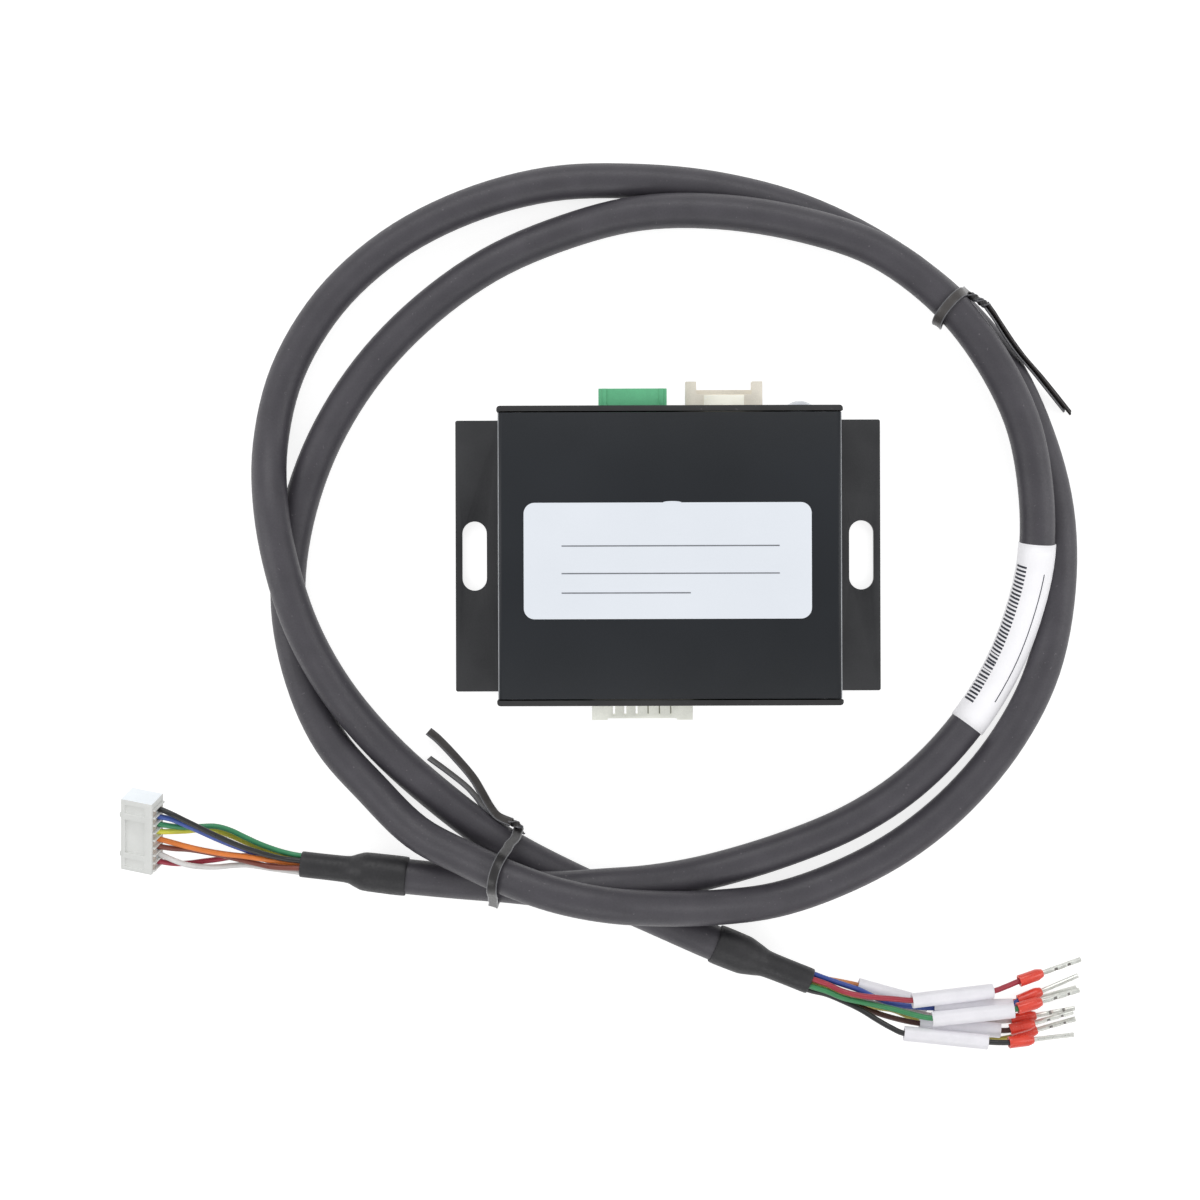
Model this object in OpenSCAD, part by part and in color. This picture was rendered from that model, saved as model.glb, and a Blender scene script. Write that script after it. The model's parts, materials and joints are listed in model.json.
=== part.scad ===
// Controller box of an electric two finger gripper, with its signal cable laid in
// two turns round it.  The origin is midway between the ear slots on the mounting
// plane, +X runs across the ears, +Y towards the power end and +Z up.

/* [Enclosure] */
// Width of the body over its side walls
body_w = 60; // [59:0.5:62]
// Length of the two extruded shells
body_l = 50; // [50:0.5:54]
// Height of the body
body_h = 20; // [20:0.5:24]
// Thickness of the extruded walls
wall = 1.6; // [1.5:0.1:1.8]
// Height of the joint between the shells
split_z = 11; // [10:0.5:12]
// Thickness of each end panel
panel_t = 1.2; // [1:0.1:1.5]
// How far an end panel stands out past the side walls
panel_lip = 0.2; // [0.1:0.1:0.5]

/* [Mounting ears] */
// Width over both ears
ears_w = 76.2; // [76:0.1:80]
// Length of the ears
ears_l = 48.6; // [46:0.1:50]
// Thickness of the ears
ear_t = 1.5; // [1.2:0.1:1.6]
// Distance between the slots of the two ears
slot_spacing = 69.4; // [69:0.1:71]
// Width of each slot
slot_w = 4.4; // [4.2:0.1:4.6]
// Length of each slot, end to end
slot_l = 12.4; // [10:0.1:14]

/* [Circuit board and connectors] */
// Height of the underside of the board
board_z = 5; // [5:0.1:5.6]
// Thickness of the board
board_t = 1.6; // [1:0.2:1.6]
// Centre of the power header across the power end
power_x = -6.4; // [-8:0.1:-6]
// Centre of the signal header across the power end
io_x = 9.8; // [9.6:0.1:10.5]
// Centre of the status lens across the power end
lens_x = 23.2; // [22.5:0.1:23.5]
// Centre of the gripper header across the gripper end
gripper_x = -4.8; // [-6:0.1:0]
// Number of contacts in the signal header
io_ways = 8; // [8]
// Number of contacts in the gripper header
gripper_ways = 6; // [6]

/* [Cable] */
// Outer diameter of the cable jacket
cable_d = 6.3; // [6:0.1:6.3]
// Outer diameter of each insulated core
core_d = 1; // [1:0.1:1.2]
// Outer diameter of each marker sleeve
sleeve_d = 2.7; // [2.6:0.1:2.9]
// Bore of each marker sleeve
sleeve_bore = 1.8; // [1.6:0.1:2.2]

/* [Hidden] */
$fn = 48;

// Colours
charcoal = [0.17, 0.18, 0.19];
jacket_grey = [0.23, 0.22, 0.24];
boot_black = [0.13, 0.13, 0.14];
tin = [0.78, 0.78, 0.76];
label_white = [0.90, 0.92, 0.95];

// Sizes that follow from the driving ones
half_w = body_w / 2;
half_l = body_l / 2;
inner_w = body_w - 2 * wall;
panel_y = half_l + panel_t;
board_top = board_z + board_t;
board_w = inner_w - 0.4;
board_l = body_l - 0.6;
edge_r = 0.8;
ear_corner = 0.35;
tongue_t = wall / 2;
tongue_h = 1.2;
fit = 0.05;

// Screw ports that the end panel screws cut into
port_x = half_w - 3.4;
port_z = 2.9;
port_r = 2;
screw_r = 1.05;
screw_l = 8;
head_r = 2.1;

// Card guides on the side walls
guide_w = 1.3;
guide_t = 0.8;

// ---------------------------------------------------------------- helpers

module both_sides() {
    children();
    mirror([1, 0, 0]) children();
}

// Extrudes a profile drawn in X and Z along Y
module along_y(length) {
    rotate([90, 0, 0])
        linear_extrude(length, center = true)
            children();
}

// A block by its lowest corner and its highest corner
module block(low, high) {
    translate(low) cube(high - low);
}

// Places children that point along +Z from p towards q
module aim(p, q) {
    d = q - p;
    translate(p)
        rotate([0, acos(d.z / norm(d)), atan2(d.y, d.x)])
            children();
}

function unit(v) = v / norm(v);

// Direction of a route at its point i
function heading(p, i) = unit(p[min(i + 1, len(p) - 1)] - p[max(i - 1, 0)]);

// A ring of points round a route's point, squarely across it
function ring(p, i, radius, sides) =
    let (ahead = heading(p, i), side = unit(cross(ahead, [0, 0, 1])), up = cross(side, ahead))
    [for (k = [0:sides - 1])
        p[i] + radius * (cos(360 * k / sides) * side + sin(360 * k / sides) * up)];

// A solid round cord swept along a route
module cord(p, d, sides) {
    n = len(p);
    skin = [for (i = [0:n - 2], k = [0:sides - 1])
        let (a = i * sides + k, b = i * sides + (k + 1) % sides)
        each [[a, b, b + sides], [a, b + sides, a + sides]]];
    first = [for (k = [1:sides - 2]) [0, k + 1, k]];
    last = [for (k = [1:sides - 2]) [0, k, k + 1] + (n - 1) * sides * [1, 1, 1]];
    polyhedron(
        points = [for (i = [0:n - 1]) each ring(p, i, d / 2, sides)],
        faces = concat(skin, first, last)
    );
}

// A flat strip swept along a route, its width across the route and level
module strip(p, w, t) {
    n = len(p);
    skin = [for (i = [0:n - 2], k = [0:3])
        let (a = i * 4 + k, b = i * 4 + (k + 1) % 4)
        each [[a, b, b + 4], [a, b + 4, a + 4]]];
    polyhedron(
        points = [for (i = [0:n - 1])
            let (ahead = heading(p, i), side = unit(cross(ahead, [0, 0, 1])),
                up = cross(side, ahead))
            each [for (c = [[1, -1], [1, 1], [-1, 1], [-1, -1]])
                p[i] + side * c.x * w / 2 + up * c.y * t / 2]],
        faces = concat(skin, [[0, 2, 1], [0, 3, 2]],
            [[0, 1, 2] + (n - 1) * 4 * [1, 1, 1], [0, 2, 3] + (n - 1) * 4 * [1, 1, 1]])
    );
}

// -------------------------------------------------------------- enclosure

module ear_outline() {
    corner = [ears_w / 2 - ear_corner, ears_l / 2 - ear_corner];
    square([ears_w, ears_l - 2 * ear_corner], center = true);
    square([ears_w - 2 * ear_corner, ears_l], center = true);
    for (x = [-1, 1], y = [-1, 1])
        translate([x * corner.x, y * corner.y]) circle(ear_corner);
}

module ear_slots() {
    reach = (slot_l - slot_w) / 2;
    for (x = [-slot_spacing / 2, slot_spacing / 2])
        translate([x, 0, -1]) {
            for (y = [-reach, reach])
                translate([0, y, 0]) cylinder(d = slot_w, h = ear_t + 2);
            translate([-slot_w / 2, -reach, 0]) cube([slot_w, 2 * reach, ear_t + 2]);
        }
}

// Quarter fillets where each ear meets its side wall
module ear_fillets() {
    r = 0.4;
    both_sides()
        translate([half_w, ear_t])
            difference() {
                translate([-r, -r]) square(2 * r);
                translate([r, r]) circle(r);
            }
}

module screw_port() {
    difference() {
        circle(port_r);
        circle(screw_r);
    }
}

module lower_profile() {
    difference() {
        union() {
            translate([-half_w, 0]) square([body_w, wall]);
            both_sides() {
                translate([half_w - wall, 0]) square([wall, split_z]);
                translate([half_w - wall, 0]) square([tongue_t, split_z + tongue_h]);
                translate([port_x, port_z]) circle(port_r);
                for (z = [board_z - guide_t, board_top])
                    translate([half_w - wall - guide_w, z]) square([guide_w + 0.2, guide_t]);
            }
        }
        both_sides() {
            translate([port_x, port_z]) circle(screw_r);
            // shadow groove along the joint
            translate([half_w, split_z]) rotate(45) square(0.5, center = true);
        }
    }
}

module lower_shell() {
    color(charcoal)
        difference() {
            union() {
                along_y(body_l) lower_profile();
                along_y(ears_l) ear_fillets();
                linear_extrude(ear_t) ear_outline();
            }
            ear_slots();
        }
}

module upper_profile() {
    difference() {
        union() {
            translate([-half_w + edge_r, body_h - wall]) square([body_w - 2 * edge_r, wall]);
            both_sides() {
                translate([half_w - wall, split_z]) square([wall, body_h - edge_r - split_z]);
                translate([half_w - edge_r, body_h - edge_r]) circle(edge_r);
                translate([port_x, body_h - port_z]) circle(port_r);
                // stiffening rib under the roof
                translate([half_w / 3, body_h - wall - 1]) square([1, 1.2]);
            }
        }
        both_sides() {
            translate([half_w - wall - 1, split_z - 1])
                square([1 + tongue_t + fit, 1 + tongue_h + fit]);
            translate([port_x, body_h - port_z]) circle(screw_r);
            translate([half_w, split_z]) rotate(45) square(0.5, center = true);
        }
    }
}

module upper_shell() {
    color(charcoal)
        along_y(body_l) upper_profile();
}

// Centres of the four screws of an end panel, in X and Z
screw_places = [for (x = [-port_x, port_x], z = [port_z, body_h - port_z]) [x, z]];

// A plain panel on the power end, its outer corners rounded in plan
module panel_blank() {
    w = body_w + 2 * panel_lip;
    r = 0.6;
    difference() {
        union() {
            block([-w / 2 + r, half_l, 0], [w / 2 - r, panel_y, body_h]);
            block([-w / 2, half_l, 0], [w / 2, panel_y - r, body_h]);
            both_sides()
                translate([w / 2 - r, panel_y - r, 0]) cylinder(r = r, h = body_h);
        }
        for (p = screw_places)
            translate([p.x, panel_y + 0.01, p.y]) rotate([90, 0, 0]) {
                cylinder(r = screw_r + 0.2, h = panel_t + 1);
                cylinder(r1 = head_r + fit, r2 = screw_r + fit, h = 1.05);
            }
    }
}

module power_end_panel() {
    color(charcoal)
        difference() {
            panel_blank();
            block([power_x - power_w / 2 - fit, half_l - 1, board_top],
                [power_x + power_w / 2 + fit, panel_y + 1, board_top + power_h + fit]);
            block([io_x - io_w / 2 - fit, half_l - 1, board_top],
                [io_x + io_w / 2 + fit, panel_y + 1, board_top + io_h + 0.3 + fit]);
            translate([lens_x, half_l - 1, lens_z]) rotate([-90, 0, 0])
                cylinder(r = lens_stem_r + fit, h = panel_t + 2);
        }
}

module gripper_end_panel() {
    color(charcoal)
        difference() {
            mirror([0, 1, 0]) panel_blank();
            block([gripper_x - gripper_w / 2 - fit, -panel_y - 1, board_top],
                [gripper_x + gripper_w / 2 + fit, 1 - half_l, board_top + gripper_h + fit]);
        }
}

// Countersunk, cross recess screw whose head lies flush with y = 0, shank towards -Y
module panel_screw() {
    rotate([90, 0, 0])
        difference() {
            union() {
                cylinder(r1 = head_r, r2 = screw_r - fit, h = 1.05);
                cylinder(r = screw_r - fit, h = screw_l - 1);
                translate([0, 0, screw_l - 1])
                    cylinder(r1 = screw_r - fit, r2 = 0.4, h = 1);
            }
            for (turn = [0, 90])
                rotate(turn) translate([-1.1, -0.2, -1]) cube([2.2, 0.4, 1.7]);
        }
}

module panel_screws() {
    color(tin)
        for (side = [0, 1], p = screw_places)
            mirror([0, side, 0]) translate([p.x, panel_y, p.y]) panel_screw();
}

module top_label() {
    size = [50.2, 20.3];
    r = 1.9;
    color(label_white)
        translate([-0.4, -0.9, body_h])
            linear_extrude(0.15) {
                square([size.x, size.y - 2 * r], center = true);
                square([size.x - 2 * r, size.y], center = true);
                for (x = [-1, 1], y = [-1, 1])
                    translate([x * (size.x / 2 - r), y * (size.y / 2 - r)]) circle(r);
                // lifting tab
                translate([0.4, size.y / 2]) scale([1.5, 0.3]) circle(1);
            }
}

// ------------------------------------------------------------- connectors

// Power header: a deep two way socket
power_w = 12;
power_h = 8.5;
power_depth = 12.25;
power_proud = 3.15;
power_pitch = 5.08;
power_wall = 1.2;
power_pin = 1;
power_front = panel_y + power_proud;
power_back = power_front - power_depth;
power_cave = 8.2;
power_pin_z = board_top + power_h / 2;

module power_header() {
    color([0.36, 0.70, 0.52])
        difference() {
            union() {
                block([power_x - power_w / 2, power_back, board_top],
                    [power_x + power_w / 2, power_front, board_top + power_h]);
                // rim round the mouth
                for (x = [-power_w / 2 + 0.6, power_w / 2 - 1.4])
                    block([power_x + x, panel_y + 0.1, board_top + power_h - 0.1],
                        [power_x + x + 0.8, power_front, board_top + power_h + 0.25]);
            }
            block([power_x - power_w / 2 + power_wall, power_front - power_cave,
                board_top + power_wall],
                [power_x + power_w / 2 - power_wall, power_front + 1,
                board_top + power_h - power_wall]);
            for (way = [-0.5, 0.5]) {
                x = power_x + way * power_pitch;
                block([x - power_pin / 2, power_back - 1, power_pin_z - power_pin / 2],
                    [x + power_pin / 2, power_front - power_cave + 1,
                    power_pin_z + power_pin / 2]);
                // keying flutes in the floor of the mouth
                translate([x, power_front - power_cave + 0.01, board_top + power_wall])
                    rotate([-90, 0, 0]) cylinder(r = 0.6, h = power_cave);
            }
        }
}

// A square pin that runs along Y at height z and turns down through the board
module angle_pin(x, y_tip, y_leg, z, t, direction) {
    low = board_z - 1.2;
    y0 = min(y_tip, y_leg - direction * t / 2);
    y1 = max(y_tip, y_leg - direction * t / 2);
    block([x - t / 2, y0, z - t / 2], [x + t / 2, y1, z + t / 2]);
    block([x - t / 2, y_leg - t / 2, low], [x + t / 2, y_leg + t / 2, z + t / 2]);
}

module power_pins() {
    color(tin)
        for (way = [-0.5, 0.5])
            angle_pin(power_x + way * power_pitch, power_front - 4.2, power_back - power_pin / 2,
                power_pin_z, power_pin, 1);
}

// Signal header: a flat shrouded socket with two long end posts
io_w = 13.6;
io_h = 4.4;
io_pitch = 1.5;
io_post = 1.9;
io_pin = 0.5;
io_back = 20.2;
io_roof_y = panel_y + 2.25;
io_base_y = panel_y + 3.2;
io_post_y = panel_y + 4.55;
io_pin_z = board_top + 2.1;

module io_header() {
    low_x = io_x - io_w / 2;
    high_x = io_x + io_w / 2;
    color([0.86, 0.80, 0.68])
        difference() {
            union() {
                block([low_x, io_back, board_top], [high_x, io_roof_y, board_top + io_h]);
                block([low_x, io_back, board_top], [high_x, io_base_y, board_top + 0.8]);
                block([low_x, io_back, board_top],
                    [low_x + io_post, io_post_y, board_top + io_h]);
                block([high_x - io_post, io_back, board_top],
                    [high_x, io_post_y, board_top + io_h]);
                // raised pad on the roof
                block([io_x - 3.55, io_back + 1, board_top + io_h - 0.1],
                    [io_x + 3.55, panel_y + 2.1, board_top + io_h + 0.3]);
            }
            block([low_x + io_post - 0.7, io_back + 1.6, board_top + 0.8],
                [high_x - io_post + 0.7, io_post_y + 1, board_top + io_h - 0.8]);
            for (way = [0:io_ways - 1])
                block([io_x + io_way_x(way) - io_pin / 2, io_back - 1, io_pin_z - io_pin / 2],
                    [io_x + io_way_x(way) + io_pin / 2, io_back + 2, io_pin_z + io_pin / 2]);
        }
}

function io_way_x(way) = (way - (io_ways - 1) / 2) * io_pitch;

module io_pins() {
    color(tin)
        for (way = [0:io_ways - 1])
            angle_pin(io_x + io_way_x(way), io_roof_y - 0.8, io_back - io_pin / 2, io_pin_z,
                io_pin, 1);
}

// Gripper header: a flat socket with a row of narrow windows in its roof
gripper_w = 17.8;
gripper_h = 5.6;
gripper_pitch = 2;
gripper_pin = 0.5;
gripper_back = -18.6;
gripper_front = -panel_y - 2.5;
gripper_cheek = 2.8;
gripper_pin_z = board_top + 2.6;

function gripper_way_x(way) = (way - (gripper_ways - 1) / 2) * gripper_pitch;

module gripper_header() {
    low_x = gripper_x - gripper_w / 2;
    high_x = gripper_x + gripper_w / 2;
    color([0.90, 0.91, 0.90])
        difference() {
            union() {
                block([low_x, gripper_front, board_top],
                    [high_x, gripper_back, board_top + gripper_h]);
                for (x = [low_x, high_x - gripper_cheek])
                    block([x, gripper_front - 0.3, board_top],
                        [x + gripper_cheek, gripper_back, board_top + gripper_h]);
            }
            block([low_x + gripper_cheek - 0.8, gripper_front - 1, board_top + 0.9],
                [high_x - gripper_cheek + 0.8, gripper_back - 1.8, board_top + gripper_h - 0.9]);
            for (way = [0:gripper_ways - 1]) {
                x = gripper_x + gripper_way_x(way);
                // the wide windows go right through, the narrow ones only through the roof
                wide = way < gripper_ways / 2;
                slit = wide ? 0.2 : 0.11;
                block([x - slit, -panel_y - 1.9, wide ? 0 : board_top + 2],
                    [x + slit, -panel_y - 0.1, body_h]);
                block([x - gripper_pin / 2, gripper_back - 2, gripper_pin_z - gripper_pin / 2],
                    [x + gripper_pin / 2, gripper_back + 1, gripper_pin_z + gripper_pin / 2]);
            }
        }
}

module gripper_pins() {
    color(tin)
        for (way = [0:gripper_ways - 1])
            angle_pin(gripper_x + gripper_way_x(way), -panel_y,
                gripper_back + gripper_pin / 2, gripper_pin_z, gripper_pin, -1);
}

// Status light: a lamp on the board behind a domed lens in the panel
lens_r = 2.45;
lens_stem_r = 1.9;
lens_z = 10;
lens_proud = 1.15;
lens_dome = 0.95;

module status_lens() {
    dome_r = (lens_r * lens_r + lens_dome * lens_dome) / (2 * lens_dome);
    color([0.88, 0.90, 0.92, 0.6])
        translate([lens_x, panel_y, lens_z]) rotate([-90, 0, 0]) {
            cylinder(r = lens_r, h = lens_proud - lens_dome);
            translate([0, 0, -panel_t - 0.6]) cylinder(r = lens_stem_r, h = panel_t + 0.7);
            intersection() {
                translate([0, 0, lens_proud - dome_r]) sphere(dome_r);
                cylinder(r = lens_r, h = lens_proud + 1);
            }
        }
}

module status_led() {
    back = half_l - 4.6;
    color([0.93, 0.93, 0.88]) {
        block([lens_x - 1.9, back, board_top], [lens_x + 1.9, back + 2, lens_z + 1.9]);
        translate([lens_x, back + 1.9, lens_z]) rotate([-90, 0, 0]) cylinder(r = 1.5, h = 1.6);
        for (x = [-1.27, 1.27])
            translate([lens_x + x, back + 0.8, board_z - 1]) cylinder(d = 0.5, h = board_t + 1.1);
    }
}

// ------------------------------------------------------------------ board

module circuit_board() {
    color([0.10, 0.34, 0.20])
        difference() {
            block([-board_w / 2, -board_l / 2, board_z], [board_w / 2, board_l / 2, board_top]);
            for (way = [-0.5, 0.5])
                board_hole(power_x + way * power_pitch, power_back - power_pin / 2, 1.5);
            for (way = [0:io_ways - 1])
                board_hole(io_x + io_way_x(way), io_back - io_pin / 2, 0.8);
            for (way = [0:gripper_ways - 1])
                board_hole(gripper_x + gripper_way_x(way), gripper_back + gripper_pin / 2, 0.8);
            for (x = [-1.27, 1.27])
                board_hole(lens_x + x, half_l - 3.8, 0.8);
        }
}

module board_hole(x, y, d) {
    translate([x, y, board_z - 1]) cylinder(d = d, h = board_t + 2);
}

// A moulded chip with bent leads along its two long sides, or along all four
module chip(size, leads, pitch, four_sided) {
    lead_w = pitch * 0.4;
    translate([-size.x / 2, -size.y / 2, 0.15]) cube(size);
    for (turn = four_sided ? [0, 90, 180, 270] : [0, 180], k = [0:leads - 1])
        rotate(turn) translate([size.x / 2 - 0.1, (k - (leads - 1) / 2) * pitch - lead_w / 2, 0]) {
            translate([0, 0, size.z / 2]) cube([0.5, lead_w, 0.15]);
            translate([0.35, 0, 0]) cube([0.15, lead_w, size.z / 2 + 0.15]);
            translate([0.35, 0, 0]) cube([0.65, lead_w, 0.15]);
        }
}

module on_board(x, y, turn = 0) {
    translate([x, y, board_top]) rotate(turn) children();
}

module microcontroller() {
    color([0.12, 0.12, 0.13]) on_board(-14, -6, 0) chip([7, 7, 1.3], 8, 0.8, true);
}

module motor_drivers() {
    color([0.12, 0.12, 0.13])
        for (x = [2, 13])
            on_board(x, -4, 0) chip([4.4, 9.7, 1.1], 12, 0.8, false);
}

module transceiver() {
    color([0.12, 0.12, 0.13]) on_board(11, 11, 90) chip([3.9, 4.9, 1.5], 4, 1.27, false);
}

module inductor() {
    color([0.25, 0.25, 0.26])
        on_board(-19, 10) {
            translate([-3, -3, 0]) cube([6, 6, 0.9]);
            translate([0, 0, 0.8]) cylinder(r = 2.3, h = 1.6);
            translate([0, 0, 2.3]) cylinder(r = 2.9, h = 0.7);
        }
}

module capacitors() {
    r = 3.15;
    color([0.75, 0.76, 0.78])
        for (p = [[-19, 18], [22, -8], [22, 1]])
            on_board(p.x, p.y) {
                translate([-3.3, -3.3, 0]) cube([6.6, 6.6, 0.8]);
                rotate_extrude()
                    polygon([[0, 0.7], [r, 0.7], [r, 1.5], [r - 0.3, 1.8], [r, 2.1], [r, 7.4],
                        [r - 0.3, 7.7], [0, 7.7]]);
            }
}

// ------------------------------------------------------------------ cable

// Axis ends of the two boots, from the wide end that grips the jacket
plug_boot_axis = [[-46.8, -57.2, 4.1], [-65.9, -55, 3]];
lead_boot_axis = [[8.1, -69.3, 4], [25.2, -76.3, 3]];
plug_grip = 8;
lead_grip = 6;
boot_bore = cable_d + 0.1;
boot_wide = cable_d + 0.8;
bundle_d = 4.1;
boot_narrow = bundle_d + 0.6;

// The point this far along an axis
function along(axis, s) = axis[0] + s * unit(axis[1] - axis[0]);

// Centreline of the jacket, from the plug boot twice round the box to the lead boot
cable_route = [
    along(plug_boot_axis, plug_grip), along(plug_boot_axis, -0.5),
    [-38, -58, 4.9], [-29.5, -58.5, 7], [-21, -59, 9.5], [-12, -58.5, 10], [-3, -58, 7.7],
    [7, -56.5, 4.6], [21, -52.5, 3.2], [33, -47.5, 3.2], [43, -41, 3.2], [52, -32, 3.2],
    [59, -21.5, 3.3], [63, -11, 6], [65.2, 0, 8.5], [65, 12, 9.3], [62.5, 24, 9.8],
    [56, 36.5, 10.2], [48, 46, 10.5], [37, 54, 10], [24, 58.5, 9.4], [9, 61, 8.4],
    [-5, 61, 5.9], [-18, 58, 3.4], [-32, 52, 3.2], [-45, 42.5, 3.2], [-55, 31.5, 3.2],
    [-62.5, 18.5, 3.2], [-67, 4, 3.2], [-68, -9, 3.2], [-65.5, -22, 3.2],
    [-60.5, -33, 3.6], [-53, -41.5, 5], [-45, -49, 7.8], [-36, -53.5, 11.4],
    [-27.5, -57, 15], [-19.5, -59.6, 16.4], [-11, -61.3, 16], [-2, -62.2, 12.8],
    [8, -62.5, 8.4], [19, -61.5, 4.8], [30, -58, 3.2], [41.5, -52, 3.2], [52, -43.5, 3.2],
    [61, -32.5, 3.2], [67, -20.5, 3.2], [69.8, -6, 3.2], [69.5, 8, 3.2],
    [66, 21.5, 3.2], [60, 34, 3.5], [50.5, 45, 4.1], [38, 54.5, 3.5], [24, 61.5, 3.2],
    [9, 65.5, 3.2], [-6, 67, 3.2], [-21, 66.5, 3.2], [-36, 62.5, 3.2], [-49.5, 55.5, 3.2],
    [-60.5, 45.5, 3.2], [-68, 33, 3.2], [-71, 20, 4.4], [-70.5, 8, 8.5], [-68, -4, 10],
    [-64.5, -14, 9.4], [-59, -24, 7.2], [-51, -34, 3.8], [-40.5, -43.5, 3.3],
    [-29.5, -51.5, 4], [-17, -58.2, 3.2], [-4, -64, 3.2],
    along(lead_boot_axis, -0.5), along(lead_boot_axis, lead_grip)
];

module cable_jacket() {
    color(jacket_grey) cord(cable_route, cable_d, 10);
}

// Wrap-round tag over the part of the cable that lies to the right of the box
module cable_label() {
    first = cable_route[11] + 0.2 * (cable_route[12] - cable_route[11]);
    last = cable_route[14] + 0.1 * (cable_route[15] - cable_route[14]);
    route = [first, cable_route[12], cable_route[13], cable_route[14], last];
    ahead = unit(route[1] - route[0]);
    behind = unit(route[4] - route[3]);
    core = concat([first - ahead], [route[0], route[1], route[2], route[3], route[4]],
        [last + behind]);
    color(label_white)
        difference() {
            cord(route, cable_d + 0.4, 10);
            cord(core, cable_d + 0.02, 10);
        }
}

// A shrunk boot: wide over the jacket, narrow over the bundle of cores
module boot(axis, grip, shoulder) {
    length = norm(axis[1] - axis[0]);
    color(boot_black)
        aim(axis[0], axis[1])
            rotate_extrude()
                polygon([
                    [boot_bore / 2, 0], [boot_wide / 2, 0], [boot_wide / 2, grip],
                    [boot_narrow / 2, grip + shoulder], [boot_narrow / 2, length],
                    [bundle_d / 2, length], [bundle_d / 2, grip + shoulder],
                    [boot_bore / 2, grip]
                ]);
}

module plug_boot() {
    boot(plug_boot_axis, plug_grip, 2.3);
}

module lead_boot() {
    boot(lead_boot_axis, lead_grip, 3.5);
}

// Place number k of a core in its bundle: 0 in the middle, 1 to 7 round it from +Y
function bundle_place(axis, k, s) =
    let (ahead = unit(axis[1] - axis[0]), flat = unit([ahead.y, -ahead.x, 0]),
        side = flat.y > 0 ? flat : -flat, turn = 90 / 7 + (k - 1) * 360 / 7,
        r = k == 0 ? 0 : bundle_d / 2 - core_d / 2 - 0.02)
    along(axis, s) + r * (cos(turn) * side + sin(turn) * [0, 0, 1]);

// The part of a core inside a boot, from the jacket's end to just past the mouth
function bundle_run(axis, k, grip) =
    let (length = norm(axis[1] - axis[0]))
    [bundle_place(axis, k, grip + 0.3), bundle_place(axis, k, grip + 4),
        bundle_place(axis, k, length + 0.3)];

// ------------------------------------------------------------------- plug

plug_centre = [-93.9, -49, 5.3];
plug_turn = [24, -15, -10];
plug_low = [-3, -6.75, -2.1];
plug_high = [3, 7.35, 2.8];
plug_pitch = 1.5;
plug_ways = 8;

function about_x(v, a) = [v.x, v.y * cos(a) - v.z * sin(a), v.y * sin(a) + v.z * cos(a)];
function about_y(v, a) = [v.x * cos(a) + v.z * sin(a), v.y, v.z * cos(a) - v.x * sin(a)];
function about_z(v, a) = [v.x * cos(a) - v.y * sin(a), v.x * sin(a) + v.y * cos(a), v.z];

// A point of the plug in the shared frame
function in_plug(v) =
    plug_centre + about_z(about_y(about_x(v, plug_turn.x), plug_turn.y), plug_turn.z);

function plug_way_y(way) = ((plug_ways - 1) / 2 - way) * plug_pitch;

module plug_frame() {
    translate(plug_centre) rotate(plug_turn) children();
}

module plug_housing() {
    top = plug_high.z;
    color([0.95, 0.95, 0.94])
        plug_frame()
            difference() {
                union() {
                    block(plug_low, plug_high);
                    // nubs of the two ribs on the front edge
                    for (y = [-3.9, 3.9])
                        translate([plug_low.x, y, top - 0.8])
                            cube([0.9, 0.9, 0.8], center = true);
                }
                // recessed panel between the ribs, and the two end recesses
                block([-2.2, -3.3, top - 0.45], [1.5, 3.3, top + 1]);
                for (y = [-6, 4.6])
                    block([-2.2, y, top - 0.3], [1.5, y + 1.6, top + 1]);
                for (way = [0:plug_ways - 1])
                    translate([0, plug_way_y(way), 0]) {
                        block([-1.9, -0.62, -0.8], [4, 0.62, 0.8]);
                        block([-4, -0.35, -0.35], [0, 0.35, 0.35]);
                    }
            }
}

module plug_contacts() {
    color(tin)
        plug_frame()
            for (way = [0:plug_ways - 1])
                translate([0, plug_way_y(way), 0])
                    difference() {
                        block([-1.9, -0.5, -0.5], [1.4, 0.5, 0.5]);
                        block([-2.4, -0.25, -0.25], [0.6, 0.25, 0.25]);
                    }
}

// A core of the plug: out of its cavity, along its hand-laid points and into the boot
module plug_core(way, place, tint, points) {
    y = plug_way_y(way);
    start = [in_plug([1.4, y, 0]), in_plug([3.2, y, 0])];
    run = bundle_run(plug_boot_axis, place, plug_grip);
    color(tint)
        cord(concat(start, points, [run[2], run[1], run[0]]), core_d, 8);
}

module plug_core_black() {
    plug_core(0, 2, [0.25, 0.26, 0.27], [
        [-88.5, -45.5, 8.7], [-86, -46.8, 8.2], [-83.5, -48.1, 7.6], [-81, -49.4, 7],
        [-78.5, -50.6, 6.5], [-76, -51.7, 6], [-73.5, -52.6, 5.5], [-71, -53.4, 5],
        [-68.5, -54, 4.4]
    ]);
}

module plug_core_blue() {
    plug_core(1, 6, [0.42, 0.52, 0.74], [
        [-88.5, -46.6, 7.4], [-86, -47.7, 6.9], [-83.5, -48.9, 6.2], [-81, -50.1, 5.7],
        [-78.5, -51.2, 5.2], [-76, -52.2, 4.6], [-73.5, -53.2, 3.6], [-71, -54.1, 2.6],
        [-68.5, -54.8, 1.6]
    ]);
}

module plug_core_green() {
    plug_core(2, 1, [0.38, 0.66, 0.52], [
        [-88.5, -47.9, 6.5], [-86, -48.2, 5.5], [-83.5, -48.1, 4.9], [-81, -48.1, 4.5],
        [-78.5, -48.8, 4.2], [-76, -50, 4], [-73.5, -51.2, 3.8], [-71, -52.2, 3.5],
        [-68.5, -53, 3.2]
    ]);
}

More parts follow.
